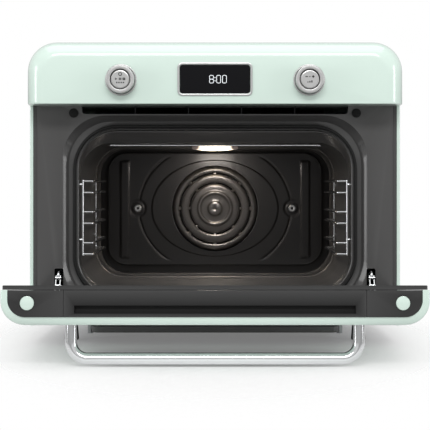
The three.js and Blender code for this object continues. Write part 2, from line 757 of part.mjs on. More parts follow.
function doorLining() {
  const plate = plateY(outline(lining), lining.front, lining.rear, [outline(innerGlass, gap)]);
  const slots = [-hinge.x, hinge.x].map((x) =>
    box(x - pocket.half, x + pocket.half, lining.front - 1, 1, pocket.low, pocket.high),
  );
  return cut(plate, slots);
}

const innerGlassPane = () => plateY(outline(innerGlass), innerGlass.front, innerGlass.rear);

function outerGlassPane() {
  const front = door.front + doorWall + gap;
  return plateY(outline(pane, pane.overlap), front, front + pane.thick);
}

// The trim's outline in XY: square at a seam, and rounded at the shell's corners.
function trimOutline(x0, x1, grow = 0) {
  const { half, radius } = trim;
  const front = trim.front - grow;
  const rear = trim.rear + (grow ? 10 : 0);
  const bend = radius + grow;
  const corner = (x, side, from) => {
    if (Math.abs(x) < half) return [[x, front]];
    return range(5).map((i) => {
      const angle = radians(from + 22.5 * i);
      return [x - side * radius + bend * Math.cos(angle), front + bend + bend * Math.sin(angle)];
    });
  };
  const spread = (x) => (Math.abs(x) < half ? x : x + Math.sign(x) * grow);
  return [[spread(x1), rear], [spread(x0), rear], ...corner(x0, -1, 180), ...corner(x1, 1, 270)];
}

function trimCentre() {
  const half = trim.seam - gap / 2;
  const { low, high } = trim;
  const block = plateZ(trimOutline(-half, half), low, high);
  const { half: slotHalf, front, rear } = trimSlot;
  return cut(block, box(-slotHalf, slotHalf, front, rear, low - 5, high + 5));
}

function trimEnd(side) {
  const near = trim.seam + gap / 2;
  const points = side > 0 ? trimOutline(near, trim.half) : trimOutline(-trim.half, -near);
  const x = side * plug.x;
  const floor = trim.high - plug.deep;
  const socket = rod([x, plug.y, floor], [x, plug.y, trim.high + 2], plug.radius + gap, 24);
  return cut(plateZ(points, trim.low, trim.high), socket);
}

const trimPlug = (x) =>
  rod([x, plug.y, trim.high - plug.deep + gap], [x, plug.y, trim.high - 0.4], plug.radius, 24);

function doorHandle() {
  const { x, z, radius, reach, bend, sides: count, steps } = handle;
  const foot = door.front - gap;
  const bar = door.front - reach;
  const at = (px, py) => new THREE.Vector3(px, py, z);
  const path = new THREE.CurvePath();
  path.add(new THREE.LineCurve3(at(-x, foot), at(-x, bar + bend)));
  path.add(new THREE.QuadraticBezierCurve3(at(-x, bar + bend), at(-x, bar), at(bend - x, bar)));
  path.add(new THREE.LineCurve3(at(bend - x, bar), at(x - bend, bar)));
  path.add(new THREE.QuadraticBezierCurve3(at(x - bend, bar), at(x, bar), at(x, bar + bend)));
  path.add(new THREE.LineCurve3(at(x, bar + bend), at(x, foot)));
  const section = range(count).map((i) => {
    const angle = radians((360 * i) / count);
    return new THREE.Vector2(radius * Math.cos(angle), radius * Math.sin(angle));
  });
  return solid(new THREE.ExtrudeGeometry(new THREE.Shape(section), { steps, extrudePath: path }));
}

// ---------------------------------------------------------------- underside
function dripTray() {
  const middle = (tray.front + tray.rear) / 2;
  const deep = (tray.rear - tray.front) / 2;
  const { half, low, high, radius } = tray;
  const shape = { half, low: middle - deep, high: middle + deep, radius };
  const level = (z, grow) => outline(shape, grow).map(([x, y]) => new THREE.Vector3(x, y, z));
  return loft([level(low + sheet, -sheet - 2), level(high, -sheet), level(high, 0), level(low, -2)]);
}

function trayRailPiece(side) {
  const { wide, low, ledge, front, rear } = trayRail;
  const inner = tray.half + gap;
  const high = body.low - gap;
  const points = [
    [inner - ledge, low],
    [inner + wide, low],
    [inner + wide, high],
    [inner, high],
    [inner, low + sheet],
    [inner - ledge, low + sheet],
  ];
  return plateY(points.map(([x, z]) => [side * x, z]), front, rear);
}

function rubberFoot(x, y) {
  const { radius, waist, high } = foot;
  const profile = [
    [0, 0],
    [radius - 1, 0],
    [radius, 1],
    [waist, high - 4],
    [radius, high],
    [0, high],
  ];
  const points = profile.map(([r, z]) => new THREE.Vector2(r, z));
  return solid(new THREE.LatheGeometry(points, 16).rotateX(Math.PI / 2).translate(x, y, 0));
}

function cordGland() {
  const y = body.depth + gap + sheet;
  const profile = [
    [0, y - sheet - 8],
    [gland.nose, y - sheet - 8],
    [gland.nose, y + gap],
    [gland.radius, y + gap],
    [gland.radius, y + 4],
    [gland.nose, y + gland.length],
    [4, y + gland.length],
    [4, y],
    [0, y],
  ];
  return turned(profile, gland.x, gland.z, 16);
}

// ---------------------------------------------------------------- the oven
piece("outer_casing", outerCasing(), "green");
piece("base_plate", basePlate(), "zinc");
piece("rear_cover", rearCover(), "zinc");
piece("front_frame", frontFrame(), "enamel");
piece("vent_grille", ventGrille(), "enamel");
piece("control_panel", controlPanel(), "green");
piece("display_bezel", displayBezel(), "satin");
piece("display_glass", displayGlass(), "blackGlass");
piece("control_board", controlBoard(), "circuit");
for (const [name, side] of sides) {
  const x = side * dial.x;
  piece(name + "_dial_base", dialBase(x), "satin");
  piece(name + "_dial", dialKnob(x), "satin");
  piece(name + "_push_button", pushButton(x), "satin");
  piece(name + "_encoder", encoderBlock(x), "plastic");
  piece(name + "_door_bumper", doorBumper(side * bumper.x), "rubber");
  piece(name + "_side_rack", sideRack(side), "chrome");
  piece(name + "_baffle_screw", baffleScrewPiece(side * baffleScrew.x), "satin");
  piece(name + "_hinge_arm", hingeArm(side * hinge.x), "zinc");
  piece(name + "_tray_rail", trayRailPiece(side), "zinc");
  piece("front_" + name + "_foot", rubberFoot(side * foot.x, foot.frontY), "rubber");
  piece("rear_" + name + "_foot", rubberFoot(side * foot.x, foot.rearY), "rubber");
  doorPiece(name + "_door_hinge", doorHinge(side * hinge.x), "zinc");
  doorPiece(name + "_end_trim", trimEnd(side), "trim");
  doorPiece(name + "_trim_plug", trimPlug(side * plug.x), "green");
}
piece("door_gasket", doorGasket(), "rubber");
piece("cavity_liner", cavityLiner(), "cavity");
piece("insulation_blanket", insulationBlanket(), "wool");
piece("fan_baffle", fanBaffle(), "cavity");
piece("convection_fan", fanImpeller(), "zinc");
piece("convection_motor", fanMotorPiece(), "zinc");
piece("ring_heater", ringHeaterPiece(), "heater");
piece("top_heater", flatHeaterPiece(cavity.high + heaterOff), "heater");
piece("bottom_heater", flatHeaterPiece(cavity.low - heaterOff), "heater");
piece("lamp_housing", lampHousing(), "zinc");
piece("lamp_lens", lampLens(), "lampGlass");
piece("blower_duct", blowerHousing(), "zinc");
piece("blower_wheel", blowerWheel(), "zinc");
piece("blower_motor", blowerMotorPiece(), "zinc");
piece("power_board", powerBoardPiece(), "circuit");
piece("drip_tray", dripTray(), "enamel");
piece("cord_gland", cordGland(), "plastic");
doorPiece("door_shell", doorShell(), "green");
doorPiece("door_lining", doorLining(), "trim");
doorPiece("outer_glass", outerGlassPane(), "tintedGlass");
doorPiece("inner_glass", innerGlassPane(), "tintedGlass");
doorPiece("centre_trim", trimCentre(), "trim");
doorPiece("door_handle", doorHandle(), "chrome");

// The origin is under the middle of the oven, at the level of the feet.
const extent = new THREE.Box3().setFromObject(cabinet, true);
cabinet.position.y = -(extent.min.y + extent.max.y) / 2;

export default oven;
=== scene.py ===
# A pale green countertop oven with its door open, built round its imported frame.
import json
import math

import bmesh
import bpy
from mathutils import Matrix, Vector


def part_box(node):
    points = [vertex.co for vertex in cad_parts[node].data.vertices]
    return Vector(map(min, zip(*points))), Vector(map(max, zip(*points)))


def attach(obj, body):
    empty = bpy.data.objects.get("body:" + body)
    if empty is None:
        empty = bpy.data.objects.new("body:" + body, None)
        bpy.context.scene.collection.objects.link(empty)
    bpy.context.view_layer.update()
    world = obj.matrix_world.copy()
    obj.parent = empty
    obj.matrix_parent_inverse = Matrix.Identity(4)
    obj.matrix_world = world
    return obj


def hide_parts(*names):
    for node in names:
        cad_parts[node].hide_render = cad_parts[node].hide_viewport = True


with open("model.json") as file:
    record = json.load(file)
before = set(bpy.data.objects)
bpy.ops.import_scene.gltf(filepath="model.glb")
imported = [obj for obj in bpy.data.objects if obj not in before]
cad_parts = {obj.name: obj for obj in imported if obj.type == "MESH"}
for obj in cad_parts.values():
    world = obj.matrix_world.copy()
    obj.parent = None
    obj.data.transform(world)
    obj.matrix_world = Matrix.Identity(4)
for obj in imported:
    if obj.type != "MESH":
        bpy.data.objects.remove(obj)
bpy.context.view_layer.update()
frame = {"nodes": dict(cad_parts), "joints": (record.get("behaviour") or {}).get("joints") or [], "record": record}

# Shapes are drawn in millimetres, with Y counted from the front frame's face, then set in place.
# The door's shapes are drawn with the door shut, and turned open about its hinge.
millimetre = 0.001
joints = {joint["name"]: joint for joint in frame["joints"]}
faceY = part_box("front_frame")[0].y
pivot = Vector(joints["door_hinge"]["pos_m"])
bevelAngle = math.radians(35)
openAngle = math.radians(joints["door_hinge"]["range_deg"][1])
cabinetPlace = Matrix.Translation((0, faceY, 0)) @ Matrix.Scale(millimetre, 4)
turnOpen = Matrix.Translation(pivot) @ Matrix.Rotation(openAngle, 4, "X") @ Matrix.Translation(-pivot)
doorPlace = turnOpen @ cabinetPlace
bodies = frame["record"]["behaviour"]["bodies"]
bodyOf = {node: name for name, nodes in bodies.items() for node in nodes}
sides = (("left", -1), ("right", 1))


# ---- shapes

def placeOf(node):
    return doorPlace if bodyOf[node] == "door" else cabinetPlace


def span(node):
    # The node's lowest and highest corners in the millimetres that the shapes are drawn in.
    back = placeOf(node).inverted()
    corners = [back @ vertex.co for vertex in frame["nodes"][node].data.vertices]
    low = Vector([min(corner[axis] for corner in corners) for axis in range(3)])
    high = Vector([max(corner[axis] for corner in corners) for axis in range(3)])
    return low, high


def turnedSpan(node):
    # The same, and the middle and radius of a node that is turned about a line along Y.
    low, high = span(node)
    return low, high, (low.x + high.x) / 2, (low.z + high.z) / 2, (high.x - low.x) / 2


def faceShape(low, high, radius, **more):
    return {"half": high.x, "low": low.z, "high": high.z, "radius": radius, **more}


def arc(x, y, radius, start, end, steps):
    angles = [math.radians(start + (end - start) * i / steps) for i in range(steps + 1)]
    return [(x + radius * math.cos(angle), y + radius * math.sin(angle)) for angle in angles]


def outline(shape, grow=0, steps=10):
    # A rounded rectangle round the first axis, anticlockwise, moved outwards by grow.
    half = shape["half"] + grow
    low = shape["low"] - grow
    high = shape["high"] + grow
    top = max(shape["radius"] + grow, 0.05)
    bottom = max(shape.get("bottomRadius", shape["radius"]) + grow, 0.05)
    points = arc(half - bottom, low + bottom, bottom, -90, 0, steps)
    points += arc(half - top, high - top, top, 0, 90, steps)
    points += arc(top - half, high - top, top, 90, 180, steps)
    points += arc(bottom - half, low + bottom, bottom, 180, 270, steps)
    return points


def mix(a, b, t):
    return {key: a[key] + (b.get(key, a[key]) - a[key]) * t for key in a}


def alongY(points, y):
    return [Vector((x, y, z)) for x, z in points]


def alongZ(points, z):
    return [Vector((x, y, z)) for x, y in points]


def alongX(points, x):
    return [Vector((x, y, z)) for y, z in points]


def skin(rings, loop=False, openRing=False, caps=True):
    # A mesh through rings with the same number of points.
    count = len(rings[0])
    total = len(rings)
    faces = []
    for i in range(total if loop else total - 1):
        a = i * count
        b = (i + 1) % total * count
        for j in range(count - 1 if openRing else count):
            k = (j + 1) % count
            faces.append((a + j, a + k, b + k, b + j))
    if openRing:
        faces.append([i * count for i in range(total)])
        faces.append([i * count + count - 1 for i in reversed(range(total))])
    if caps and not loop:
        faces.append(list(reversed(range(count))))
        faces.append(list(range((total - 1) * count, total * count)))
    return [point for ring in rings for point in ring], faces


def layers(shape, section, steps=10, place=alongY):
    # A ring of the shape for each (grow, level) of a section.
    return [place(outline(shape, grow, steps), level) for grow, level in section]


def prism(points, place, start, end):
    return skin([place(points, start), place(points, end)])


def fillet(points, radius, steps=5, closed=False):
    # The points of a bent line with each bend rounded.
    points = [Vector(point) for point in points]
    made = []
    for i, point in enumerate(points):
        if not closed and i in (0, len(points) - 1):
            made.append(point)
            continue
        before = points[i - 1] - point
        after = points[(i + 1) % len(points)] - point
        half = before.angle(after) / 2
        if half > math.radians(89):
            made.append(point)
            continue
        reach = min(radius / math.tan(half), before.length * 0.49, after.length * 0.49)
        centre = point + (before.normalized() + after.normalized()).normalized() * reach / math.cos(half)
        start = point + before.normalized() * reach - centre
        end = point + after.normalized() * reach - centre
        turn = start.angle(end)
        for step in range(steps + 1):
            t = step / steps
            both = start * math.sin((1 - t) * turn) + end * math.sin(t * turn)
            made.append(centre + both / math.sin(turn))
    return made


def lathe(profile, x, z, steps=72, round=0, closed=False):
    # A turned shape about a line along Y. The profile holds (radius, y).
    line = [Vector((radius, y, 0)) for radius, y in profile]
    if round:
        line = fillet(line, round, 4, closed)
    rings = []
    for i in range(steps):
        angle = 2 * math.pi * i / steps
        rings.append([Vector((x + p.x * math.cos(angle), p.y, z + p.x * math.sin(angle))) for p in line])
    return skin(rings, loop=True, openRing=not closed)


def tube(path, radius, sides=16):
    # A round section carried along a path without twist.
    turns = [2 * math.pi * i / sides for i in range(sides)]
    path = [Vector(point) for point in path]
    last = len(path) - 1
    rings = []
    across = None
    for i, point in enumerate(path):
        along = (path[min(i + 1, last)] - path[max(i - 1, 0)]).normalized()
        if across is None:
            across = along.orthogonal().normalized()
        across = (across - along * across.dot(along)).normalized()
        up = along.cross(across)
        rings.append([point + across * (radius * math.cos(turn)) + up * (radius * math.sin(turn))
                      for turn in turns])
    return skin(rings)


def joined(*parts):
    verts = []
    faces = []
    for partVerts, partFaces in parts:
        faces += [[index + len(verts) for index in face] for face in partFaces]
        verts += partVerts
    return verts, faces


def makeMesh(name, made, place):
    mesh = bpy.data.meshes.new(name)
    verts, faces = made
    mesh.from_pydata(verts, [], faces)
    work = bmesh.new()
    work.from_mesh(mesh)
    bmesh.ops.remove_doubles(work, verts=work.verts, dist=0.001)
    bmesh.ops.recalc_face_normals(work, faces=work.faces)
    work.to_mesh(mesh)
    work.free()
    mesh.transform(place)
    return mesh


def carve(mesh, cutters, place):
    # Cuts closed shapes out of a mesh, one after another.
    for cutter in cutters:
        target = bpy.data.objects.new("carved", mesh)
        tool = bpy.data.objects.new("cutter", makeMesh("cutter", cutter, place))
        bpy.context.collection.objects.link(target)
        bpy.context.collection.objects.link(tool)
        step = target.modifiers.new("cut", "BOOLEAN")
        step.operation = "DIFFERENCE"
        step.solver = "EXACT"
        step.object = tool
        depsgraph = bpy.context.evaluated_depsgraph_get()
        mesh = bpy.data.meshes.new_from_object(target.evaluated_get(depsgraph))
        bpy.data.objects.remove(target)
        bpy.data.objects.remove(tool)
    return mesh


def piece(name, made, finish, stands=(), on="cabinet", cutters=(), bevel=0, sharp=35, thick=0):
    place = placeOf(stands[0]) if stands else cabinetPlace
    mesh = carve(makeMesh(name, made, place), cutters, place)
    mesh.name = name
    centre = (mesh.vertices[0].co + mesh.vertices[-1].co) / 2
    if stands:
        low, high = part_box(stands[0])
        centre = (low + high) / 2
        on = bodyOf[stands[0]]
    mesh.transform(Matrix.Translation(-centre))
    made = bpy.data.objects.new(name, mesh)
    bpy.context.collection.objects.link(made)
    made.location = centre
    if thick:
        solid = made.modifiers.new("thickness", "SOLIDIFY")
        solid.thickness = thick * millimetre
        solid.offset = -1
    if bevel:
        edge = made.modifiers.new("edges", "BEVEL")
        edge.width = bevel * millimetre
        edge.segments = 2
        edge.limit_method = "ANGLE"
        edge.angle_limit = bevelAngle
        edge.harden_normals = True
    mesh.shade_smooth()
    mesh.set_sharp_from_angle(angle=math.radians(sharp))
    material, slotName = finishes[finish]
    mesh.materials.clear()
    mesh.materials.append(material)
    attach(made, on)
    if stands:
        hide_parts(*stands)
    return made


# ---- effects that several materials share

white = (1, 1, 1, 1)


def add(tree, kind, inputs=None, **settings):
    made = tree.nodes.new("ShaderNode" + kind)
    for key, value in settings.items():
        setattr(made, key, value)
    for key, value in (inputs or {}).items():
        if isinstance(value, bpy.types.NodeSocket):
            tree.links.new(value, made.inputs[key])
        else:
            made.inputs[key].default_value = value
    return made


def maths(tree, operation, *values, clamp=False):
    return add(tree, "Math", dict(enumerate(values)), operation=operation, use_clamp=clamp).outputs[0]


def noise(tree, place, scale, detail, **settings):
    inputs = {"Vector": place, "Scale": scale, "Detail": detail}
    return add(tree, "TexNoise", {**inputs, **settings}).outputs["Fac"]


def effect(name, inputs, output, build):
    # A node group with named inputs and one output, filled in by build.
    group = bpy.data.node_groups.new(name, "ShaderNodeTree")
    kinds = {"Color": "NodeSocketColor"}
    for label, value in inputs.items():
        kind = kinds.get(label, "NodeSocketFloat")
        group.interface.new_socket(label, in_out="INPUT", socket_type=kind).default_value = value
    group.interface.new_socket(output, in_out="OUTPUT", socket_type=kinds.get(output, "NodeSocketFloat"))
    given = group.nodes.new("NodeGroupInput").outputs
    group.links.new(build(group, given), group.nodes.new("NodeGroupOutput").inputs[output])
    return group


def speckle(group, given):
    # Small and large changes of tone, as in fired enamel and moulded parts.
    place = add(group, "TexCoord").outputs["Object"]
    both = maths(group, "ADD", noise(group, place, given["Scale"], 2), noise(group, place, 14, 3))
    gain = maths(group, "MULTIPLY_ADD", maths(group, "SUBTRACT", both, 1.0), given["Strength"], 1.0)
    tone = add(group, "CombineColor", {"Red": gain, "Green": gain, "Blue": gain})
    blend = {0: 1.0, 6: given["Color"], 7: tone.outputs[0]}
    return add(group, "Mix", blend, data_type="RGBA", blend_type="MULTIPLY").outputs[2]


def smudge(group, given):
    # Soft wipe marks and fine dust that change how sharply a surface shines.
    place = add(group, "TexCoord").outputs["Object"]
    wipe = noise(group, place, given["Scale"], 5, Distortion=0.8)
    both = maths(group, "ADD", wipe, noise(group, place, 1500, 1))
    centred = maths(group, "SUBTRACT", both, 1.0)
    return maths(group, "MULTIPLY_ADD", centred, given["Spread"], given["Roughness"], clamp=True)


def grain(group, given):
    # The height of a fine, even texture.
    return noise(group, add(group, "TexCoord").outputs["Object"], given["Scale"], 2)


def turned(group, given):
    # Fine rings round a part's own middle, as a lathe leaves them.
    split = add(group, "SeparateXYZ", {0: add(group, "TexCoord").outputs["Object"]})
    flat = add(group, "CombineXYZ", {0: split.outputs["X"], 1: split.outputs["Z"]})
    radius = add(group, "VectorMath", {0: flat.outputs[0]}, operation="LENGTH").outputs["Value"]
    inputs = {"W": radius, "Scale": given["Scale"], "Detail": 2}
    return add(group, "TexNoise", inputs, noise_dimensions="1D").outputs["Fac"]


def wear(group, given):
    # A paler tone along the outer edges: partly wear, and partly a painted highlight where the edges catch the
    # light.
    point = add(group, "NewGeometry").outputs["Pointiness"]
    edge = add(group, "MapRange", {"Value": point, "From Min": 0.52, "From Max": 0.62})
    amount = maths(group, "MULTIPLY", edge.outputs[0], given["Strength"])
    return add(group, "Mix", {0: amount, 6: given["Color"], 7: white}, data_type="RGBA").outputs[2]


effects = {
    "speckle": effect("speckle", {"Color": white, "Scale": 900, "Strength": 0.1}, "Color", speckle),
    "smudge": effect("smudge", {"Roughness": 0.3, "Spread": 0.1, "Scale": 22}, "Roughness", smudge),
    "grain": effect("grain", {"Scale": 1200}, "Height", grain),
    "turned": effect("turned", {"Scale": 2600}, "Height", turned),
    "wear": effect("wear", {"Color": white, "Strength": 0.3}, "Color", wear),
}


# ---- materials

def newMaterial(name, sockets):
    made = bpy.data.materials.new(name)
    made.use_nodes = True
    shader = made.node_tree.nodes["Principled BSDF"]
    for key, value in sockets.items():
        shader.inputs[key].default_value = value
    return made, made.node_tree, shader


def fromMiddle(tree, scale):
    # How far a point is from the object's middle, with each axis scaled.
    place = add(tree, "TexCoord").outputs["Object"]
    scaled = add(tree, "VectorMath", {0: place, 1: scale}, operation="MULTIPLY")
    return add(tree, "VectorMath", {0: scaled.outputs[0]}, operation="LENGTH").outputs["Value"]


def useEffect(tree, name, inputs):
    return add(tree, "Group", inputs, node_tree=effects[name]).outputs[0]


def bump(tree, shader, height, distance, strength=1.0):
    made = add(tree, "Bump", {"Height": height, "Distance": distance * millimetre, "Strength": strength})
    tree.links.new(made.outputs[0], shader.inputs["Normal"])


def tint(tree, shader, color, scale, strength, wornAndLit=0.0):
    # A varied tone, paler along the edges for wear and a painted edge highlight.
    shade = useEffect(tree, "speckle", {"Color": (*color, 1), "Scale": scale, "Strength": strength})
    if wornAndLit:
        shade = useEffect(tree, "wear", {"Color": shade, "Strength": wornAndLit})
    tree.links.new(shade, shader.inputs["Base Color"])
    return shade


def shine(tree, shader, rough, spread, scale=22):
    rough = useEffect(tree, "smudge", {"Roughness": rough, "Spread": spread, "Scale": scale})
    tree.links.new(rough, shader.inputs["Roughness"])


def surface(name, color, rough, spread, sockets, tone=0.06, toneScale=900, grain=0.0, grainScale=1200,
            wear=0.0):
    # The usual build: a varied tone, a varied shine and a fine texture.
    made, tree, shader = newMaterial(name, sockets)
    tint(tree, shader, color, toneScale, tone, wear)
    shine(tree, shader, rough, spread)
    if grain:
        bump(tree, shader, useEffect(tree, "grain", {"Scale": grainScale}), grain)
    return made


def greenPaint():
    coat = {"Coat Weight": 1.0, "Coat Roughness": 0.04, "Coat IOR": 1.5, "Specular IOR Level": 0.5}
    return surface("greenPaint", (0.655, 0.79, 0.715), 0.28, 0.02, coat, tone=0.008, grain=0.002,
                   grainScale=120)


def frameEnamel():
    return surface("frameEnamel", (0.047, 0.046, 0.0455), 0.42, 0.1,
                   {"Specular IOR Level": 0.5, "Coat Weight": 0.7, "Coat Roughness": 0.1},
                   tone=0.16, toneScale=1400, grain=0.02, grainScale=900, wear=0.06)


def cavityEnamel():
    coat = {"Coat Weight": 0.35, "Coat Roughness": 0.2, "Metallic": 0.2}
    return surface("cavityEnamel", (0.100, 0.096, 0.093), 0.34, 0.14, coat,
                   tone=0.2, toneScale=1500, grain=0.03, grainScale=700)


def baffleEnamel(name, color, rough):
    coat = {"Coat Weight": 0.35, "Coat Roughness": rough / 2, "Metallic": 0.6}
    return surface(name, color, rough, 0.1, coat,
                   tone=0.2, toneScale=1300, grain=0.02, grainScale=700, wear=0.15)


def darkTrim():
    return surface("darkTrim", (0.016, 0.016, 0.016), 0.6, 0.08, {"Specular IOR Level": 0.12},
                   tone=0.12, toneScale=1600, grain=0.02, grainScale=1500, wear=0.08)


def chrome(name, rough):
    made, tree, shader = newMaterial(name, {"Metallic": 1.0, "Base Color": (0.86, 0.87, 0.88, 1)})
    shine(tree, shader, rough, 0.05, 40)
    return made


def satinSteel():
    made, tree, shader = newMaterial("satinSteel", {"Metallic": 1.0})
    tint(tree, shader, (0.56, 0.56, 0.555), 2000, 0.1)
    shine(tree, shader, 0.36, 0.1)
    bump(tree, shader, useEffect(tree, "turned", {}), 0.012)
    return made


def zincSteel():
    return surface("zincSteel", (0.42, 0.43, 0.44), 0.42, 0.2, {"Metallic": 1.0},
                   tone=0.18, toneScale=60, grain=0.01, grainScale=300)


def fanAluminium():
    # The aluminium is painted near black, as painted shade behind the baffle, so only glints show through the
    # slots.
    return surface("fanAluminium", (0.07, 0.065, 0.062), 0.26, 0.12, {"Metallic": 1.0}, tone=0.1,
                   toneScale=200)


def blackGlass():
    return surface("blackGlass", (0.006, 0.006, 0.007), 0.12, 0.03,
                   {"Coat Weight": 0.05, "Specular IOR Level": 0.12},
                   tone=0.02)


def tintedGlass():
    return surface("tintedGlass", (0.012, 0.012, 0.013), 0.06, 0.05,
                   {"Coat Weight": 1.0, "Coat Roughness": 0.03},
                   tone=0.05)


def lampGlass():
    # Bright over the bulb, and dim frosted glass round it.
    made, tree, shader = newMaterial("lampGlass", {"Roughness": 0.3, "Emission Strength": 11.0})
    tint(tree, shader, (0.55, 0.47, 0.44), 90, 0.2)
    near = add(tree, "MapRange", {"Value": fromMiddle(tree, (1, 0.5, 0)), "From Min": 0.010,
                                  "From Max": 0.030})
    ramp = add(tree, "ValToRGB", {0: near.outputs[0]})
    ramp.color_ramp.elements[0].color = (1.0, 0.84, 0.62, 1)
    ramp.color_ramp.elements[1].color = (0.006, 0.0045, 0.004, 1)
    tree.links.new(ramp.outputs[0], shader.inputs["Emission Color"])
    return made


def digitLight():
    made, tree, shader = newMaterial("digitLight", {"Roughness": 0.4, "Emission Strength": 0.62})
    glow = tint(tree, shader, (0.93, 0.97, 1.0), 600, 0.06)
    tree.links.new(glow, shader.inputs["Emission Color"])
    return made


def blackRubber():
    return surface("blackRubber", (0.010, 0.010, 0.010), 0.62, 0.15, {"Specular IOR Level": 0.18},
                   tone=0.2, grain=0.03, grainScale=1200)


def blackPlastic():
    return surface("blackPlastic", (0.014, 0.014, 0.015), 0.5, 0.1, {"Specular IOR Level": 0.25},
                   tone=0.1, grain=0.03, grainScale=1500)


def circuitBoard():
    made, tree, shader = newMaterial("circuitBoard", {"Roughness": 0.45})
    place = add(tree, "TexCoord").outputs["Object"]
    cells = add(tree, "TexVoronoi", {"Vector": place, "Scale": 260}, distance="MANHATTAN")
    trace = add(tree, "ValToRGB", {0: cells.outputs["Distance"]})
    trace.color_ramp.elements[0].color = (0.012, 0.10, 0.045, 1)
    trace.color_ramp.elements[1].color = (0.03, 0.17, 0.08, 1)
    tree.links.new(trace.outputs[0], shader.inputs["Base Color"])
    return made


def mineralWool():
    return surface("mineralWool", (0.62, 0.57, 0.45), 0.95, 0.05, {"Sheen Weight": 0.3},
                   tone=0.4, toneScale=300, grain=1.0, grainScale=260)


def heaterSheath():
    return surface("heaterSheath", (0.09, 0.085, 0.08), 0.5, 0.2, {"Metallic": 0.8}, tone=0.3,
                   toneScale=120)


def inkMark():
    return surface("inkMark", (0.03, 0.03, 0.03), 0.5, 0.1, {}, tone=0.1)


finishes = {
    "green": (greenPaint(), "green_paint"),
    "frame": (frameEnamel(), "grey_enamel"),
    # The vent grille's grey enamel is given black plastic, as painted shade inside the vent slot.
    "ventMetal": (blackPlastic(), "grey_enamel"),
    "cavity": (cavityEnamel(), "cavity_enamel"),
    # The baffle plate and its dome are one enamel in two tones: the plate's is painted darker, as painted shade on
    # the flat plate, and the dome's lighter, as painted light from the oven lamp.
    "baffle": (baffleEnamel("baffleEnamel", (0.018, 0.0165, 0.016), 0.42), "cavity_enamel"),
    "dome": (baffleEnamel("domeEnamel", (0.075, 0.069, 0.065), 0.3), "cavity_enamel"),
    "trim": (darkTrim(), "dark_trim"),
    "plug": (greenPaint(), "green_plug"),
    "chrome": (chrome("chrome", 0.15), "chrome"),
    "wire": (chrome("chromeWire", 0.16), "chrome_wire"),
    "satin": (satinSteel(), "satin_steel"),
    "bezel": (satinSteel(), "chrome"),
    "zinc": (zincSteel(), "zinc_steel"),
    "fan": (fanAluminium(), "fan_aluminium"),
    "blackGlass": (blackGlass(), "black_glass"),
    "tintedGlass": (tintedGlass(), "tinted_glass"),
    "lamp": (lampGlass(), "lamp_glass"),
    "digit": (digitLight(), "lamp_glass"),
    "rubber": (blackRubber(), "black_rubber"),
    "plastic": (blackPlastic(), "black_plastic"),
    "circuit": (circuitBoard(), "circuit_board"),
    "wool": (mineralWool(), "mineral_wool"),
    "heater": (heaterSheath(), "heater_sheath"),
    "ink": (inkMark(), "black_plastic"),
}
slotFinish = {slotName: material for material, slotName in reversed(list(finishes.values()))}
print("materials made")


# ---- the CAD nodes that stay take their slot's material

def dressNodes():
    for part in frame["record"]["subparts"]:
        node = frame["nodes"][part["node"]]
        material = slotFinish[part["material_slot"]]
        node.data.materials.clear()
        node.data.materials.append(material)


dressNodes()

# ---- casing and control panel

panel = {"radius": 39, "bottomRadius": 3, "side": 22, "top": 22, "bottom": 1.2, "corner": 14, "depth": 30,
         "wall": 2.5, "steps": 14, "bore": 9}


def coverRings(shape, cover, front, rear, grow):
    # Rings whose sides, top and bottom draw in towards a rounded front.
    rings = [alongY(outline(shape, grow), rear)]
    for i in range(cover["steps"] + 1):
        turn = math.pi / 2 * i / cover["steps"]
        inward = 1 - math.cos(turn)
        drawn = {
            "half": shape["half"] - cover["side"] * inward,
            "low": shape["low"] + cover["bottom"] * inward,
            "high": shape["high"] - cover["top"] * inward,
            "radius": max(shape["radius"] - cover["corner"] * inward, 3),
            "bottomRadius": max(shape["bottomRadius"] - cover["corner"] * inward, 3),
        }
        rings.append(alongY(outline(drawn, grow), front + cover["depth"] * (1 - math.sin(turn))))
    return rings


def controlPanel():
    low, high = span("control_panel")
    shape = faceShape(low, high, panel["radius"], bottomRadius=panel["bottomRadius"])
    wall = panel["wall"]
    outer = coverRings(shape, panel, low.y, high.y, 0)
    inner = coverRings(shape, panel, low.y + wall, high.y, -wall)
    bores = []
    for side in ("left", "right"):
        x, z = turnedSpan(side + "_dial")[2:4]
        bores.append(prism(arc(x, z, panel["bore"], 0, 350, 35), alongY, low.y - 4, low.y + 12))
    piece("controlPanel", skin(inner[::-1] + outer), "green", ["control_panel"], cutters=[joined(*bores)])


casing = {"radius": 38, "lip": 4.4, "lipDepth": 5, "sheet": 0.9, "round": 1.6}


def archOutline(half, low, high, radius, grow):
    bend = max(radius + grow, 0.05)
    points = [(-half - grow, low)]
    points += arc(bend - half - grow, high + grow - bend, bend, 180, 90, 14)
    points += arc(half + grow - bend, high + grow - bend, bend, 90, 0, 14)
    return points + [(half + grow, low)]


def outerCasing():
    low, high = span("outer_casing")
    lip, lipDepth, sheet, soft = (casing[key] for key in ("lip", "lipDepth", "sheet", "round"))
    edge = [(-soft * (1 - math.cos(a)), soft * (1 - math.sin(a)))
            for a in (math.radians(10 * i) for i in range(10))]
    section = [(0, high.y), *edge, (-lip, 0.3), (-lip, lipDepth), (-sheet, lipDepth), (-sheet, high.y)]
    rings = [alongY(archOutline(high.x, low.z, high.z, casing["radius"], grow), y) for grow, y in section]
    piece("outerCasing", skin(rings, loop=True, openRing=True), "green", ["outer_casing"])


rear = {"bottomRadius": 4, "slots": 7, "pitch": 9, "slotHigh": 4, "slotHalf": 34, "slotX": 120,
        "slotZ": 332, "glandX": 175, "glandZ": 60, "glandRadius": 6.8}


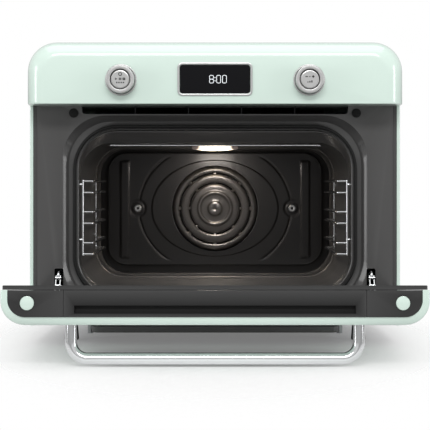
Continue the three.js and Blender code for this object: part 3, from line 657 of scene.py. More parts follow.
def rearCover():
    low, high = span("rear_cover")
    shape = faceShape(low, high, casing["radius"], bottomRadius=rear["bottomRadius"])
    cover = layers(shape, [(-0.2, low.y), (0, low.y + 0.2), (0, high.y - 0.4), (-0.4, high.y)])
    tools = []
    half = rear["slotHigh"] / 2
    ends = arc(rear["slotHalf"], 0, half, -90, 90, 8) + arc(-rear["slotHalf"], 0, half, 90, 270, 8)
    for sign in (-1, 1):
        for i in range(rear["slots"]):
            z = rear["slotZ"] - i * rear["pitch"]
            points = [(sign * rear["slotX"] + x, z + up) for x, up in ends]
            tools.append(prism(points, alongY, low.y - 2, high.y + 2))
    gland = arc(rear["glandX"], rear["glandZ"], rear["glandRadius"], 0, 345, 23)
    tools.append(prism(gland, alongY, low.y - 2, high.y + 2))
    piece("rearCover", skin(cover), "zinc", ["rear_cover"], cutters=[joined(*tools)])


# ---- display

display = {"radius": 6.5, "rim": 2.4, "round": 0.5, "glassRound": 0.35}


def displayBezel():
    low, high = span("display_bezel")
    shape = faceShape(low, high, display["radius"])
    soft = display["round"]
    rim = display["rim"] + 0.3
    section = [(0, high.y), (0, low.y + soft), (-soft * 0.3, low.y + soft * 0.3), (-soft, low.y),
               (-rim + soft, low.y), (-rim + soft * 0.3, low.y + soft * 0.3), (-rim, low.y + soft),
               (-rim, high.y)]
    piece("displayBezel", skin(layers(shape, section), loop=True), "bezel", ["display_bezel"])


def displayGlass():
    low, high = span("display_glass")
    shape = faceShape(low, high, display["radius"] - display["rim"])
    soft = display["glassRound"]
    rings = layers(shape, [(0, high.y), (0, low.y + soft), (-soft, low.y)])
    piece("displayGlass", skin(rings), "blackGlass", ["display_glass"])
    clockDigits(low.y, (low.z + high.z) / 2)


clock = {"height": 10.6, "width": 5.7, "stroke": 0.52, "pitch": 7.6, "left": -4.6, "colon": 3.4,
         "dot": 0.6, "thick": 0.15}


def ribbon(shape, y):
    # A flat loop of the clock's stroke width.
    stroke = clock["stroke"]
    section = [(0, y), (0, y - clock["thick"]), (-stroke, y - clock["thick"]), (-stroke, y)]
    return skin(layers(shape, section, 6), loop=True)


def moved(made, x, z):
    verts, faces = made
    return [vert + Vector((x, 0, z)) for vert in verts], faces


def clockDigits(y, z):
    # Eight o'clock: an 8, a colon and two noughts.
    half = clock["width"] / 2
    tall = clock["height"] / 2
    bar = clock["stroke"] / 2
    nought = {"half": half, "low": -tall, "high": tall, "radius": 1.9}
    upper = {"half": half, "low": -bar, "high": tall, "radius": 1.8}
    lower = {"half": half, "low": -tall, "high": bar, "radius": 1.8}
    left = clock["left"]
    parts = [moved(ribbon(upper, y), left, z), moved(ribbon(lower, y), left, z)]
    for i in (1, 2):
        parts.append(moved(ribbon(nought, y), left + clock["colon"] + clock["pitch"] * i - 1.6, z))
    for up in (-2.2, 2.2):
        dot = arc(left + half + clock["colon"] / 2 + 0.1, z + up, clock["dot"], 0, 330, 11)
        parts.append(prism(dot, alongY, y, y - clock["thick"]))
    piece("clockDigits", joined(*parts), "digit", sharp=60)


# ---- dials

dial = {"round": 0.7, "bore": 13.4, "buttonDish": 0.25, "webDepth": 7, "backGap": 0.7, "hub": 8,
        "shaft": 5.3}


def dialParts(side, sign):
    baseLow, baseHigh, x, z, baseRadius = turnedSpan(side + "_dial_base")
    buttonLow, buttonHigh, x, z, buttonRadius = turnedSpan(side + "_push_button")
    low, high, x, z, rimRadius = turnedSpan(side + "_dial")
    soft = dial["round"]
    base = [(rimRadius + 0.5, baseHigh.y), (rimRadius + 0.5, baseLow.y), (baseRadius, baseLow.y),
            (baseRadius, baseHigh.y)]
    piece(side + "DialBase", lathe(base, x, z, 96, soft, True), "satin", [side + "_dial_base"])
    web = low.y + dial["webDepth"]
    back = baseHigh.y - dial["backGap"]
    hub = dial["hub"]
    shaft = dial["shaft"]
    profile = [(dial["bore"], low.y), (rimRadius, low.y), (rimRadius, back), (hub, back), (hub, high.y),
               (shaft, high.y), (shaft, web), (dial["bore"], web)]
    piece(side + "Dial", lathe(profile, x, z, 96, soft, True), "satin", [side + "_dial"])
    front = buttonLow.y
    button = [(0, front + dial["buttonDish"]), (buttonRadius - 1.6, front), (buttonRadius, front + 0.5),
              (buttonRadius, front + 3.4), (3, front + 3.4), (3, buttonHigh.y), (0, buttonHigh.y)]
    piece(side + "PushButton", lathe(button, x, z, 96, soft), "satin", [side + "_push_button"])
    marks = startMarks if sign < 0 else setMarks
    piece(side + "ButtonMarks", joined(*marks(x, z, front)), "ink", on=side + "_button", sharp=60)


mark = {"thick": 0.12, "stroke": 0.65, "row": 1.6}


def stamp(points, y):
    return prism(points, alongY, y + 0.3, y - mark["thick"])


def bar(x, z, half, tall, y):
    return stamp([(x - half, z - tall), (x + half, z - tall), (x + half, z + tall), (x - half, z + tall)],
                 y)


def frameMark(x, z, half, y):
    # The outline of a small square.
    tall = mark["row"]
    thin = mark["stroke"] * 0.9
    ends = [bar(x + side * (half - thin), z, thin, tall, y) for side in (-1, 1)]
    return ends + [bar(x, z + side * (tall - thin), half, thin, y) for side in (-1, 1)]


def startMarks(x, z, y):
    # A ring over a triangle, a pair of bars and a square, and a row of short strokes.
    ring = arc(x, z + 6.6, 2.5, 95, 445, 28) + arc(x, z + 6.6, 1.4, 445, 95, 28)
    row = z + 0.3
    tall = mark["row"]
    triangle = [(x - 6.6, row - tall), (x - 6.6, row + tall), (x - 3.6, row)]
    parts = [stamp(ring, y), stamp(triangle, y)]
    parts += [bar(x + at, row, mark["stroke"], tall, y) for at in (-1.0, 0.9)]
    parts += frameMark(x + 4.9, row, 1.7, y)
    return parts + [bar(x + at, z - 4.4, 0.9, 0.9, y) for at in (-4.4, -1.5, 1.5, 4.4)]


def setMarks(x, z, y):
    # Minus and plus signs over a row of rising strokes.
    row = z + 3.4
    thin = mark["stroke"]
    parts = [bar(x - 4.2, row, 1.6, thin, y), bar(x + 4.4, row, 1.6, thin, y),
             bar(x + 4.4, row, thin, 1.6, y)]
    parts += [bar(x, row, thin, 0.7, y)]
    return parts + [bar(x + at * 2.6, z - 3.4 + 0.4 * at, 0.8, 1.0 + 0.4 * at, y) for at in (-1, 0, 1)]


# ---- front frame, vents and seal

stepShape = {"half": 205, "low": 50, "high": 307.4, "radius": 60}
rimShape = {"half": 184, "low": 66, "high": 288, "radius": 52}
frameFace = {"radius": 3, "border": 5.4, "sunk": 2.6, "thick": 3.4, "recess": 10}
armSlot = {"half": 6, "low": 74, "high": 102, "radius": 2}
vent = {"half": 179, "bays": 5, "rib": 1.4, "low": 309.6, "high": 319.6, "round": 4.5, "front": 3.2,
        "back": 5.2}


def ventSlot():
    shape = {"half": vent["half"], "low": vent["low"], "high": vent["high"] + 6, "radius": 1,
             "bottomRadius": vent["round"]}
    return prism(outline(shape, 0, 6), alongY, -3, vent["front"] + 1)


def ventGrille():
    # Upright ribs set back behind the slot, on a thin rail, in black plastic as painted shade inside the slot.
    bay = 2 * vent["half"] / vent["bays"]
    low, high = vent["low"], vent["high"]
    bars = [(-vent["half"], vent["half"], high - 1)]
    for i in range(vent["bays"] + 1):
        x = -vent["half"] + i * bay
        bars.append((x - vent["rib"] / 2, x + vent["rib"] / 2, low - 1))
    parts = [prism([(left, foot), (right, foot), (right, high), (left, high)], alongY, vent["front"],
                   vent["back"])
             for left, right, foot in bars]
    piece("ventGrille", joined(*parts), "ventMetal", ["vent_grille"])


def frontFrame():
    # A face with a sunk border, the step behind it, and a bead round the rim.
    low, high = span("front_frame")
    face = faceShape(low, high, frameFace["radius"])
    border = frameFace["border"]
    sunk = frameFace["sunk"]
    thick = frameFace["thick"]
    recess = frameFace["recess"]
    shelf = mix(stepShape, rimShape, 0.4)
    section = [
        (face, 0, thick), (face, 0, sunk), (face, 0.5 - border, sunk), (face, -border, 0.15),
               (face, -border - 0.4, 0),
        (stepShape, 1.6, 0), (stepShape, 0.7, 0.2), (stepShape, 0.1, 0.8), (shelf, 0.8, recess - 2.8),
               (shelf, 0, recess - 2.3),
        (rimShape, 4.2, recess - 1.4), (rimShape, 3.0, recess - 1.5), (rimShape, 2.2, recess - 2.4),
               (rimShape, 1.2, recess - 2.6),
        (rimShape, 0.4, recess - 1.9), (rimShape, 0, recess - 0.6), (rimShape, 0.2, recess + 0.5),
               (rimShape, 1.2, recess + 0.9),
        (shelf, 0.6, recess - 1.2), (stepShape, 1.4, thick),
    ]
    rings = [alongY(outline(shape, grow, 14), y) for shape, grow, y in section]
    slots = []
    for side in ("left", "right"):
        middle = turnedSpan(side + "_hinge_arm")[2]
        slots.append(prism([(middle + x, z) for x, z in outline(armSlot, 0, 4)], alongY, -3, 17))
    piece("frontFrame", skin(rings, loop=True), "frame", ["front_frame"],
          cutters=[ventSlot(), joined(*slots)], sharp=28)


def doorGasket():
    low, high = span("door_gasket")
    radius = (high.y - low.y) / 2
    grow = high.x - rimShape["half"] - radius
    rings = []
    for i in range(14):
        angle = 2 * math.pi * i / 14
        rings.append(alongY(outline(rimShape, grow + radius * math.cos(angle), 14),
                            low.y + radius * (1 + math.sin(angle))))
    piece("doorGasket", skin(rings, loop=True), "rubber", ["door_gasket"])


def doorBumpers():
    for side in ("left", "right"):
        low, high, x, z, radius = turnedSpan(side + "_door_bumper")
        profile = [(0, low.y), (radius * 0.55, low.y), (radius * 0.62, low.y + 0.5),
                   (radius, low.y + 0.6), (radius, high.y), (0, high.y)]
        piece(side + "DoorBumper", lathe(profile, x, z, 40, 0.35), "rubber", [side + "_door_bumper"])


# ---- cavity

cavityShape = {"half": 184, "low": 72, "high": 273, "radius": 44}
mouthShape = {"half": 184, "low": 67, "high": 286, "radius": 50}
liner = {"front": 12, "lip": 32, "sheet": 0.9, "beads": (277, 350), "beadWide": 6, "beadHigh": 2.1,
         "steps": 14, "flareStations": 7, "shaftHole": 6, "bend": 8}


def linerStations(rearY):
    # How wide the mouth is, how far the wall is moved outwards, and Y, from the front to the back.
    bend = liner["bend"]
    stations = [(1, 0, liner["front"]), (0.9, 0, liner["front"] + 2), (0.12, 0, liner["lip"] - 2.4),
                (0.02, -0.5, liner["lip"] - 0.6),
                (0, -0.9, liner["lip"] + 0.8), (0, -0.4, liner["lip"] + 2.2), (0, 0, liner["lip"] + 3.4)]
    for at in liner["beads"]:
        for i in range(9):
            t = i / 8
            stations.append((0, -liner["beadHigh"] * math.sin(math.pi * t) ** 2,
                             at + liner["beadWide"] * (t - 0.5)))
    for i in range(6):
        turn = math.radians(18 * i)
        stations.append((0, -bend * (1 - math.cos(turn)), rearY - bend + bend * math.sin(turn)))
    return stations


def linerRing(t, grow, y):
    return alongY(outline(mix(cavityShape, mouthShape, t), grow, liner["steps"]), y)


def cavityLiner():
    # The grey flare at the mouth, and the darker cavity behind it.
    rearY = span("cavity_liner")[1].y
    sheet = liner["sheet"]
    stations = linerStations(rearY - sheet)
    front = liner["flareStations"]
    inner = [linerRing(*station) for station in stations]
    outer = [linerRing(t, sheet, y) for t, grow, y in stations[:front]]
    bend = liner["bend"]
    back = [outer[-1], linerRing(0, sheet, rearY - bend), linerRing(0, -bend, rearY)]
    seatLow, seatHigh = span("lamp_lens")
    lampHole = {"half": 31, "low": seatLow.y + 4, "high": seatHigh.y - 4, "radius": 3}
    tool = prism(outline(lampHole), alongZ, 262, 290)
    fanZ = turnedSpan("convection_fan")[3]
    shaftHole = prism(arc(0, fanZ, liner["shaftHole"], 0, 345, 23), alongY, rearY - 4, rearY + 4)
    piece("cavityLiner", skin(inner[front - 1:][::-1] + back), "cavity", ["cavity_liner"],
          cutters=[tool, shaftHole])
    piece("cavityFlare", skin(inner[:front][::-1] + outer, loop=True), "frame")


baffle = {"front": 348, "clear": 1.4, "flange": 5, "rings": 84, "around": 320, "domeRadius": 68,
          "domeZ": 177, "screwX": 122.6}
baffleShape = {"half": 170, "low": 87, "high": 265, "radius": 30}
pressing = {"grooveHalf": (121, 104), "grooveDeep": 1.3, "grooveSize": 110, "raisedHalf": (100, 76),
            "raisedHigh": 1.2, "ribHigh": 1.6, "hollowDeep": 1.2}


def smooth(edge0, edge1, value):
    t = min(max((value - edge0) / (edge1 - edge0), 0), 1)
    return t * t * (3 - 2 * t)


def pressed(x, z):
    # How far the plate is pressed towards the door at a point.
    dz = z - baffle["domeZ"]
    outerOval = math.hypot(x / pressing["grooveHalf"][0], dz / pressing["grooveHalf"][1])
    innerOval = math.hypot(x / pressing["raisedHalf"][0], dz / pressing["raisedHalf"][1])
    ends = 1 - smooth(78, 84, abs(dz))
    deep = pressing["grooveDeep"]
    groove = deep * math.exp(-((outerOval - 1) * pressing["grooveSize"] / deep) ** 2) * ends
    height = pressing["raisedHigh"] * (1 - smooth(0.992, 1.012, innerOval)) - groove
    wide = smooth(136, 138, abs(x)) * (1 - smooth(149, 151, abs(x)))
    rib = wide * smooth(97, 100, z) * (1 - smooth(250, 253, z))
    height += pressing["ribHigh"] * rib
    dimple = math.hypot(abs(x) - baffle["screwX"], dz)
    hollow = pressing["hollowDeep"] * (1 - smooth(12, 14.5, dimple))
    boss = 1 - smooth(8.6, 9.6, dimple)
    return height * smooth(13, 15, dimple) - hollow + boss


def resample(points, count):
    # Evenly spaced points round a closed outline.
    points = [Vector(point) for point in points]
    lengths = [(points[(i + 1) % len(points)] - point).length for i, point in enumerate(points)]
    total = sum(lengths)
    made = []
    index = 0
    passed = 0
    for step in range(count):
        goal = total * step / count
        while passed + lengths[index] < goal:
            passed += lengths[index]
            index += 1
        t = (goal - passed) / lengths[index]
        made.append(points[index].lerp(points[(index + 1) % len(points)], t))
    return made


def bafflePlate():
    # The pressed plate round the dome, bent back to the cavity's wall at its edge.
    around = baffle["around"]
    centre = Vector((0, baffle["domeZ"]))
    y = baffle["front"]
    edge = resample(outline(baffleShape, -baffle["clear"]), around)
    wall = resample(outline(cavityShape, -1.2), around)
    rings = []
    for i in range(baffle["rings"] + 1):
        t = i / baffle["rings"]
        ring = []
        for point in edge:
            inner = centre + (point - centre).normalized() * baffle["domeRadius"]
            at = inner.lerp(point, t)
            ring.append(Vector((at.x, y - pressed(at.x, at.y) * smooth(1.0, 0.93, t), at.y)))
        rings.append(ring)
    for i in range(1, 9):
        turn = math.radians(11.25 * i)
        t = 1 - math.cos(turn)
        ring = [point.lerp(far, t) for point, far in zip(edge, wall)]
        rings.append([Vector((at.x, y + baffle["flange"] * math.sin(turn), at.y)) for at in ring])
    return skin(rings, caps=False)


domeSlots = {"rings": ((53.6, 57.4), (38.2, 41.8)), "count": 8, "bridge": 6, "around": 240}
domeProfile = [(68, 0), (67.4, 0.5), (66.6, 2.2), (65.6, 5.6), (64.6, 8), (63.2, 9.6), (61.4, 10.4),
               (59.4, 10.5), (58.2, 9.9),
               (57.4, 9.3), (53.6, 9.3), (52.8, 10.2), (51.4, 10.9), (49, 11.1), (45, 11.1), (43.4, 10.8),
               (42.4, 10.1),
               (41.8, 9.6), (38.2, 9.6), (37.4, 10.6), (36.2, 11.3), (34, 11.6), (30.4, 11.7),
               (28.4, 11.7), (27.4, 12.3),
               (26.2, 13.7), (25, 14.2), (23.8, 13.7), (22.6, 12.4), (21.4, 11.9), (15, 12.6), (12, 12.8),
               (11, 13.4), (10.4, 14.6), (9.4, 15.2), (6, 15.4), (0.01, 15.4)]


def baffleDome():
    # The turned dome, with two rings of slots.
    around = domeSlots["around"]
    y = baffle["front"] - pressed(0, baffle["domeZ"])
    rings = []
    for radius, rise in domeProfile:
        circle = arc(0, baffle["domeZ"], radius, 0, 360 - 360 / around, around - 1)
        rings.append([Vector((x, y - rise + 4, z)) for x, z in circle])
    verts, faces = skin(rings, caps=False)
    kept = []
    pitch = 360 / domeSlots["count"]
    for face in faces:
        middle = sum((verts[index] for index in face), Vector()) / len(face)
        radius = math.hypot(middle.x, middle.z - baffle["domeZ"])
        angle = math.degrees(math.atan2(middle.z - baffle["domeZ"], middle.x)) % pitch
        within = any(low < radius < high for low, high in domeSlots["rings"])
        if not (within and domeSlots["bridge"] / 2 < angle < pitch - domeSlots["bridge"] / 2):
            kept.append(face)
    return verts, kept


def fanBaffle():
    piece("fanBaffle", bafflePlate(), "baffle", ["fan_baffle"], thick=0.9, sharp=50)
    piece("baffleDome", baffleDome(), "dome", thick=0.9, sharp=50)
    for side in ("left", "right"):
        low, high, x, z, radius = turnedSpan(side + "_baffle_screw")
        profile = [(0, low.y + 2.4), (1.9, low.y + 2.4), (2.1, low.y), (radius - 1.4, low.y),
                   (radius, low.y + 1.6),
                   (radius, baffle["front"] - 0.4), (2.4, baffle["front"] - 0.4), (2.4, high.y),
                   (0, high.y)]
        piece(side + "BaffleScrew", lathe(profile, x, z, 48, 0.4), "satin", [side + "_baffle_screw"])


fan = {"blades": 14, "blade": 30, "thick": 0.9, "lean": 28, "depth": 18}


def convectionFan():
    low, high, x, z, radius = turnedSpan("convection_fan")
    back = low.y + fan["depth"]
    disc = [(0, back), (radius, back), (radius, back - fan["thick"]), (12, back - fan["thick"]),
            (10, low.y + 4), (0, low.y + 4)]
    shaft = [(0, back - 1), (4, back - 1), (4, high.y), (0, high.y)]
    parts = [lathe(disc, 0, z, 64), lathe(shaft, 0, z, 24)]
    lean = Matrix.Rotation(math.radians(fan["lean"]), 3, "Y")
    half = fan["blade"] / 2
    thin = fan["thick"] / 2
    corners = [(-half, -thin), (half, -thin), (half, thin), (-half, thin)]
    for i in range(fan["blades"]):
        turn = Matrix.Rotation(2 * math.pi * i / fan["blades"], 3, "Y")
        verts, faces = skin([[Vector((x, at, y)) for x, y in corners] for at in (low.y, back - 0.5)])
        made = []
        for vert in verts:
            spun = turn @ (lean @ Vector((vert.x, 0, vert.z)) + Vector((radius - half - 3, 0, 0)))
            made.append(Vector((spun.x, vert.y, z + spun.z)))
        parts.append((made, faces))
    piece("convectionFan", joined(*parts), "fan", ["convection_fan"], sharp=30)


lampDrop = {"collar": 4.3, "frame": 2.6, "bulge": 2.4}


def lampLens():
    # A pressed glass cover whose middle bulges down, glowing most there.
    low, high = span("lamp_lens")
    shape = {"half": high.x, "low": low.y, "high": high.y, "radius": 7}
    seat = {"half": 30, "low": low.y + 5, "high": high.y - 5, "radius": 3}
    collar = high.z - lampDrop["collar"]
    foot = collar - lampDrop["frame"]
    rings = layers(seat, [(0, high.z), (0, high.z - 3.6)], place=alongZ)
    rings += layers(shape, [(-1, collar + 0.7), (0, collar), (0, foot), (-1, foot - 0.6)], place=alongZ)
    middle = (low.y + high.y) / 2
    for i in range(1, 8):
        t = i / 8
        scale = 0.94 - 0.92 * t
        inner = [(x * scale, middle + (y - middle) * scale) for x, y in outline(shape)]
        drop = lampDrop["bulge"] * math.sin(math.pi / 2 * t)
        rings.append(alongZ(inner, max(foot - 0.6 - drop, low.z)))
    piece("lampLens", skin(rings), "lamp", ["lamp_lens"])


strip = {"half": 154.5, "y": 140, "radius": 1.4, "z": 271.6}


def ceilingRod():
    # The polished rod along the ceiling, bent up into it at each end.
    half, y, z = strip["half"], strip["y"], strip["z"]
    path = fillet([(-half, y, z + 1.4), (-half + 3, y, z), (half - 3, y, z), (half, y, z + 1.4)], 2)
    piece("ceilingRod", tube(path, strip["radius"], 12), "wire")


rack = {"radius": 1.65, "reach": 4.5, "rails": (219.5, 203.9, 177.6, 162, 135.3, 120.1),
        "hooks": (215, 140), "railX": 166,
        "wallX": 180, "hookX": 183.6}


def sideRacks():
    for side, sign in sides:
        low, high = span(side + "_side_rack")
        front = low.y + 2.6
        back = high.y - 2.6
        wall = sign * rack["wallX"]
        out = sign * rack["railX"]
        radius = rack["radius"]
        parts = []
        for y in (front, back):
            ends = (min(rack["rails"]) - radius, max(rack["rails"]) + radius)
            parts.append(tube([(wall, y, ends[0]), (wall, y, ends[1])], radius, 12))
            parts += [tube([(wall, y, z), (sign * rack["hookX"], y, z)], radius, 12)
                      for z in rack["hooks"]]
        for z in rack["rails"]:
            path = fillet([(wall, front, z), (out, front + 4, z), (out, back - 4, z), (wall, back, z)],
                          rack["reach"], 6)
            parts.append(tube(path, radius, 12))
        piece(side + "SideRack", joined(*parts), "wire", [side + "_side_rack"], sharp=50)


# ---- door

doorShape = {"half": 249, "low": 57, "high": 317, "radius": 3, "bottomRadius": 30}
doorCover = {"side": 28, "top": 9.5, "bottom": 9.5, "corner": 8, "depth": 28, "steps": 16, "front": -49,
             "rear": -8.3, "wall": 2, "pocketHalf": 9.4}
window = {"half": 166, "low": 96, "high": 262, "radius": 24}
trim = {"half": 240.3, "seam": 175.7, "front": -39.5, "rear": -8.6, "radius": 20, "low": 308.5,
        "high": 316.6, "gap": 0.35, "seamGap": 0.15, "slotHalf": 163, "slotFront": -35.6, "slotRear": -26.5}


def trimOutline(x0, x1, grow=0):
    # In XY: square at a seam, and rounded where the shell's corners are.
    front = trim["front"] - grow
    back = trim["rear"] + (10 if grow else 0)
    bend = trim["radius"] + grow
    points = []
    for x, start in ((x0, 180), (x1, 270)):
        side = 1 if x > 0 else -1
        if abs(x) < trim["half"]:
            points.append((x, front))
        else:
            points += arc(x - side * trim["radius"], front + bend, bend, start, start + 90, 12)
    grown = [x + (math.copysign(grow, x) if abs(x) >= trim["half"] else 0) for x in (x1, x0)]
    return [(grown[0], back), (grown[1], back)] + points


def doorShell():
    # A pan with a window, open at the top for the trims, and cut out below for the hinges.
    cover = doorCover
    outer = coverRings(doorShape, cover, cover["front"], cover["rear"], 0)
    inner = coverRings(doorShape, cover, cover["front"] + cover["wall"], cover["rear"], -cover["wall"])
    opening = prism(outline(window), alongY, cover["front"] - 3, cover["front"] + 8)
    top = prism(trimOutline(-trim["half"], trim["half"], trim["gap"]), alongZ, trim["low"] - 8,
                doorShape["high"] + 6)
    pockets = []
    half = doorCover["pocketHalf"]
    for side in ("left", "right"):
        low, high = span(side + "_door_hinge")
        middle = (low.x + high.x) / 2
        near = low.y - 0.4
        points = [(middle - half, near), (middle + half, near), (middle + half, 2), (middle - half, 2)]
        pockets.append(prism(points, alongZ, 50, 70))
    piece("doorShell", skin(inner[::-1] + outer), "green", ["door_shell"],
          cutters=[joined(opening), top, joined(*pockets)], sharp=28)


lining = {"half": 246.7, "low": 60, "high": 316.7, "radius": 3, "bottomRadius": 27}
glass = {"half": 194, "low": 86, "high": 296, "radius": 14}


def doorLining():
    low, high = span("door_lining")
    section = [(lining, 0, low.y), (lining, 0, high.y - 0.9), (lining, -0.25, high.y - 0.3),
               (lining, -0.9, high.y),
               (glass, 1.2, high.y), (glass, 0.5, high.y - 0.4), (glass, 0.35, low.y)]
    rings = [alongY(outline(shape, grow), y) for shape, grow, y in section]
    slots = []
    half = 6.8
    for side in ("left", "right"):
        middle = turnedSpan(side + "_door_hinge")[2]
        points = [(middle - half, 50), (middle + half, 50), (middle + half, 112), (middle - half, 112)]
        slots.append(prism(points, alongY, low.y - 2, high.y + 2))
    piece("doorLining", skin(rings, loop=True), "trim", ["door_lining"], cutters=[joined(*slots)])


def doorGlass():
    for name, node in (("innerGlass", "inner_glass"), ("outerGlass", "outer_glass")):
        low, high = span(node)
        radius = glass["radius"] if node == "inner_glass" else window["radius"] + 6
        shape = faceShape(low, high, radius)
        rings = layers(shape, [(-0.5, low.y), (0, low.y + 0.5), (0, high.y - 0.5), (-0.5, high.y)])
        piece(name, skin(rings), "tintedGlass", [node])


def centreTrim():
    half = trim["seam"] - trim["seamGap"]
    shape = trimOutline(-half, half)
    slotShape = [(-trim["slotHalf"], trim["slotFront"]), (trim["slotHalf"], trim["slotFront"]),
                 (trim["slotHalf"], trim["slotRear"]), (-trim["slotHalf"], trim["slotRear"])]
    hollow = prism(slotShape, alongZ, trim["high"] - 6.2, trim["high"] + 5)
    piece("centreTrim", prism(shape, alongZ, trim["low"], trim["high"]), "trim", ["centre_trim"],
          cutters=[hollow], bevel=0.5)


def endTrims():
    for side, sign in sides:
        near = trim["seam"] + trim["seamGap"]
        ends = (near, trim["half"]) if sign > 0 else (-trim["half"], -near)
        low, high = span(side + "_trim_plug")
        x = (low.x + high.x) / 2
        y = (low.y + high.y) / 2
        radius = (high.x - low.x) / 2
        socket = prism(arc(x, y, radius + 0.35, 0, 354, 59), alongZ, trim["high"] - 5, trim["high"] + 2)
        piece(side + "EndTrim", prism(trimOutline(*ends), alongZ, trim["low"], trim["high"]), "trim",
              [side + "_end_trim"], cutters=[socket], bevel=0.4)
        section = [(0, low.z), (0, high.z - 0.7), (0.2, high.z - 0.2), (0.7, high.z)]
        rings = [alongZ(arc(x, y, radius - inset, 0, 354, 59), z) for inset, z in section]
        piece(side + "TrimPlug", skin(rings), "plug", [side + "_trim_plug"])


handle = {"x": 170, "z": 280, "radius": 7.1, "reach": 40, "bend": 20, "sides": 40}


def doorHandle():
    foot = doorCover["front"] - 0.3
    bar = doorCover["front"] - handle["reach"]
    x, z = handle["x"], handle["z"]
    path = fillet([(-x, foot, z), (-x, bar, z), (x, bar, z), (x, foot, z)], handle["bend"], 16)
    piece("doorHandle", tube(path, handle["radius"], handle["sides"]), "chrome", ["door_handle"])


hingePlate = {"thick": 1.1, "half": 3.4, "eye": 7.3, "pin": 3.0, "top": 93,
              "rods": ((-9, 90, 1.7), (-12, 80, 1.7), (36, 90, 3))}


def hinges():
    # Two side plates with rods between them, and a bent hook on top.
    y, z = pivot.y / millimetre - faceY / millimetre, pivot.z / millimetre
    top = hingePlate["top"]
    for side in ("left", "right"):
        low, high = span(side + "_hinge_arm")
        x = (low.x + high.x) / 2
        eye = arc(y, z, hingePlate["eye"], -45, -225, 16)
        profile = [(high.y, 80), (4, 80), *eye, (-6, top), (high.y, top)]
        bore = prism(arc(y, z, hingePlate["pin"] + 0.4, 0, 345, 23), alongX, x - 20, x + 20)
        hole = prism(arc(-5, 88, 2.2, 0, 345, 23), alongX, x - 20, x + 20)
        half = hingePlate["half"]
        plates = [prism(profile, alongX, x + at, x + at + hingePlate["thick"])
                  for at in (-half, half - hingePlate["thick"])]
        rods = [tube([(x - 4, at, up), (x + 4, at, up)], size) for at, up, size in hingePlate["rods"]]
        hook = tube(fillet([(x, -3, top - 3), (x, -7, top + 1), (x, -1, top + 4.5), (x, 6, top + 3)], 3,
                           6), 1.7, 12)
        piece(side + "HingeArm", joined(*plates, *rods, hook), "chrome", [side + "_hinge_arm"],
              cutters=[joined(bore, hole)], bevel=0.25)


# ---- underside

def rubberFeet():
    # Turned about a line along Z: the lathe's Y and Z are swapped.
    for node in [name for name in frame["nodes"] if name.endswith("_foot")]:
        low, high = span(node)
        radius = (high.x - low.x) / 2
        x = (low.x + high.x) / 2
        y = (low.y + high.y) / 2
        profile = [(0, low.z), (radius - 1, low.z), (radius, low.z + 1), (radius - 1.5, high.z - 4),
                   (radius, high.z - 1), (radius, high.z), (0, high.z)]
        verts, faces = lathe(profile, x, y, 48, 0.8)
        words = node.split("_")
        name = words[0] + "".join(word.capitalize() for word in words[1:])
        piece(name, ([vert.xzy for vert in verts], faces), "rubber", [node])


def dripTray():
    low, high = span("drip_tray")
    shape = {"half": high.x, "low": low.y, "high": high.y, "radius": 12}
    section = [(-3, low.z + 0.9), (-1.2, low.z + 1.6), (-0.9, high.z), (0, high.z), (-0.2, low.z + 2),
               (-1.2, low.z + 0.4), (-2.6, low.z)]
    piece("dripTray", skin(layers(shape, section, place=alongZ)), "frame", ["drip_tray"])


def cordGland():
    low, high, x, z, wide = turnedSpan("cord_gland")
    back = span("rear_cover")[1].y + 0.3
    profile = [(0, low.y), (6.5, low.y), (6.5, back), (wide, back), (wide, back + 3.4), (7.4, back + 4.2),
               (6.8, high.y), (4, high.y), (4, back), (0, back)]
    piece("cordGland", lathe(profile, x, z, 48, 0.4), "plastic", ["cord_gland"])


builders = [controlPanel, outerCasing, rearCover, displayBezel, displayGlass, frontFrame, ventGrille,
            doorGasket, doorBumpers, cavityLiner,
            fanBaffle, convectionFan, lampLens, ceilingRod, sideRacks, doorShell, doorLining, doorGlass,
            centreTrim, endTrims, doorHandle, hinges, rubberFeet, dripTray, cordGland]
for builder in builders:
    builder()
    print("made", builder.__name__)
for side, sign in sides:
    dialParts(side, sign)
print("made the dials")


# ---- camera, light and floor

view = {"distance": 1.9, "height": 0.2156, "lens": 118.26, "shift": -31 / 430}


def makeCamera():
    data = bpy.data.cameras.new("camera")
    data.lens = view["lens"]
    data.sensor_width = 36
    data.shift_y = view["shift"]
    data.clip_start = 0.05
    camera = bpy.data.objects.new("camera", data)
    camera.location = (0, faceY - view["distance"], view["height"])
    camera.rotation_euler = (math.pi / 2, 0, 0)
    bpy.context.collection.objects.link(camera)
    bpy.context.scene.camera = camera


lights = [
    {"name": "topSoftbox", "at": (0.0, -0.25, 1.9), "aim": (0, -0.25, 0), "size": (2.2, 1.8),
     "power": 14},
    {"name": "frontSoftbox", "at": (0.0, -2.4, 1.75), "aim": (0, 0, 0.15), "size": (1.9, 0.5),
     "power": 34},
    {"name": "ovenLamp", "at": (0.0, 0.11, 0.258), "aim": (0, 0.16, 0.1), "size": (0.05, 0.03),
     "power": 0.24, "tint": (1, 0.93, 0.87)},
    {"name": "leftSoftbox", "at": (-1.5, -0.7, 0.45), "aim": (0, -0.2, 0.1), "size": (0.4, 0.8),
     "power": 4.5},
    {"name": "rightSoftbox", "at": (1.5, -0.7, 0.45), "aim": (0, -0.2, 0.1), "size": (0.4, 0.8),
     "power": 4.5},
]


def makeLights():
    for values in lights:
        data = bpy.data.lights.new(values["name"], "AREA")
        data.shape = "RECTANGLE"
        data.size, data.size_y = values["size"]
        data.energy = values["power"]
        data.color = values.get("tint", (1, 1, 1))
        made = bpy.data.objects.new(values["name"], data)
        made.location = values["at"]
        aim = Vector(values["aim"]) - made.location
        made.rotation_euler = aim.to_track_quat("-Z", "Y").to_euler()
        bpy.context.collection.objects.link(made)


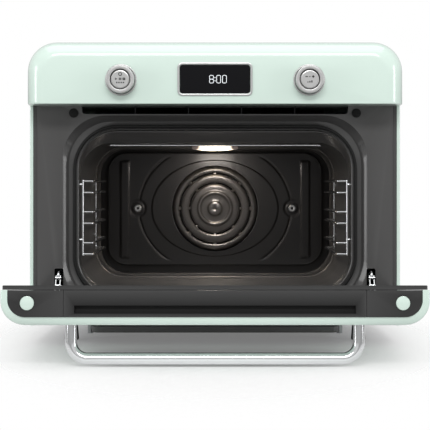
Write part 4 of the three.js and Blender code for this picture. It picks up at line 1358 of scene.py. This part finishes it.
stops = ((0.0, 0.5), (0.44, 0.72), (0.485, 0.28), (0.515, 0.28), (0.57, 0.68), (1.0, 0.38))


def makeWorld():
    # White where the camera sees past the floor, and a banded sky for light and reflections.
    world = bpy.data.worlds.new("studio")
    world.use_nodes = True
    bpy.context.scene.world = world
    tree = world.node_tree
    place = add(tree, "TexCoord").outputs["Generated"]
    height = add(tree, "SeparateXYZ", {0: place}).outputs["Z"]
    level = add(tree, "MapRange", {"Value": height, "From Min": -1.0, "From Max": 1.0})
    ramp = add(tree, "ValToRGB", {0: level.outputs[0]})
    ramp.color_ramp.elements[0].position = stops[0][0]
    ramp.color_ramp.elements[1].position = stops[-1][0]
    for stop in stops[1:-1]:
        ramp.color_ramp.elements.new(stop[0])
    for element, stop in zip(ramp.color_ramp.elements, stops):
        element.color = (stop[1], stop[1], stop[1], 1)
    path = add(tree, "LightPath").outputs["Is Camera Ray"]
    tone = add(tree, "Mix", {0: path, 6: ramp.outputs[0], 7: white}, data_type="RGBA")
    tree.links.new(tone.outputs[2], tree.nodes["Background"].inputs["Color"])


floorValues = {"radius": 4.0, "squeeze": 1.9, "fadeFrom": 0.32, "fadeTo": 0.72, "tone": 0.74,
               "glow": 0.16}


def makeFloor():
    # A pale disc that fades out round the oven.
    mesh = bpy.data.meshes.new("floor")
    ring = arc(0, 0, floorValues["radius"], 0, 355, 71)
    mesh.from_pydata([(x, y, 0) for x, y in ring], [], [list(range(len(ring)))])
    floor = bpy.data.objects.new("floor", mesh)
    bpy.context.collection.objects.link(floor)
    glow = {"Emission Color": white, "Emission Strength": floorValues["glow"]}
    made, tree, shader = newMaterial("paleFloor", {"Roughness": 0.5, "Specular IOR Level": 0.2, **glow})
    tone = floorValues["tone"]
    tint(tree, shader, (tone, tone, tone), 400, 0.01)
    away = fromMiddle(tree, (floorValues["squeeze"], 1, 1))
    fade = add(tree, "MapRange", {"Value": away, "From Min": floorValues["fadeFrom"],
                                  "From Max": floorValues["fadeTo"],
                                  "To Min": 1.0, "To Max": 0.0}, interpolation_type="SMOOTHSTEP")
    tree.links.new(fade.outputs[0], shader.inputs["Alpha"])
    mesh.materials.append(made)


bpy.context.scene.view_settings.view_transform = "Standard"
makeCamera()
makeLights()
makeWorld()
makeFloor()
print("stage made")

bpy.context.view_layer.update()
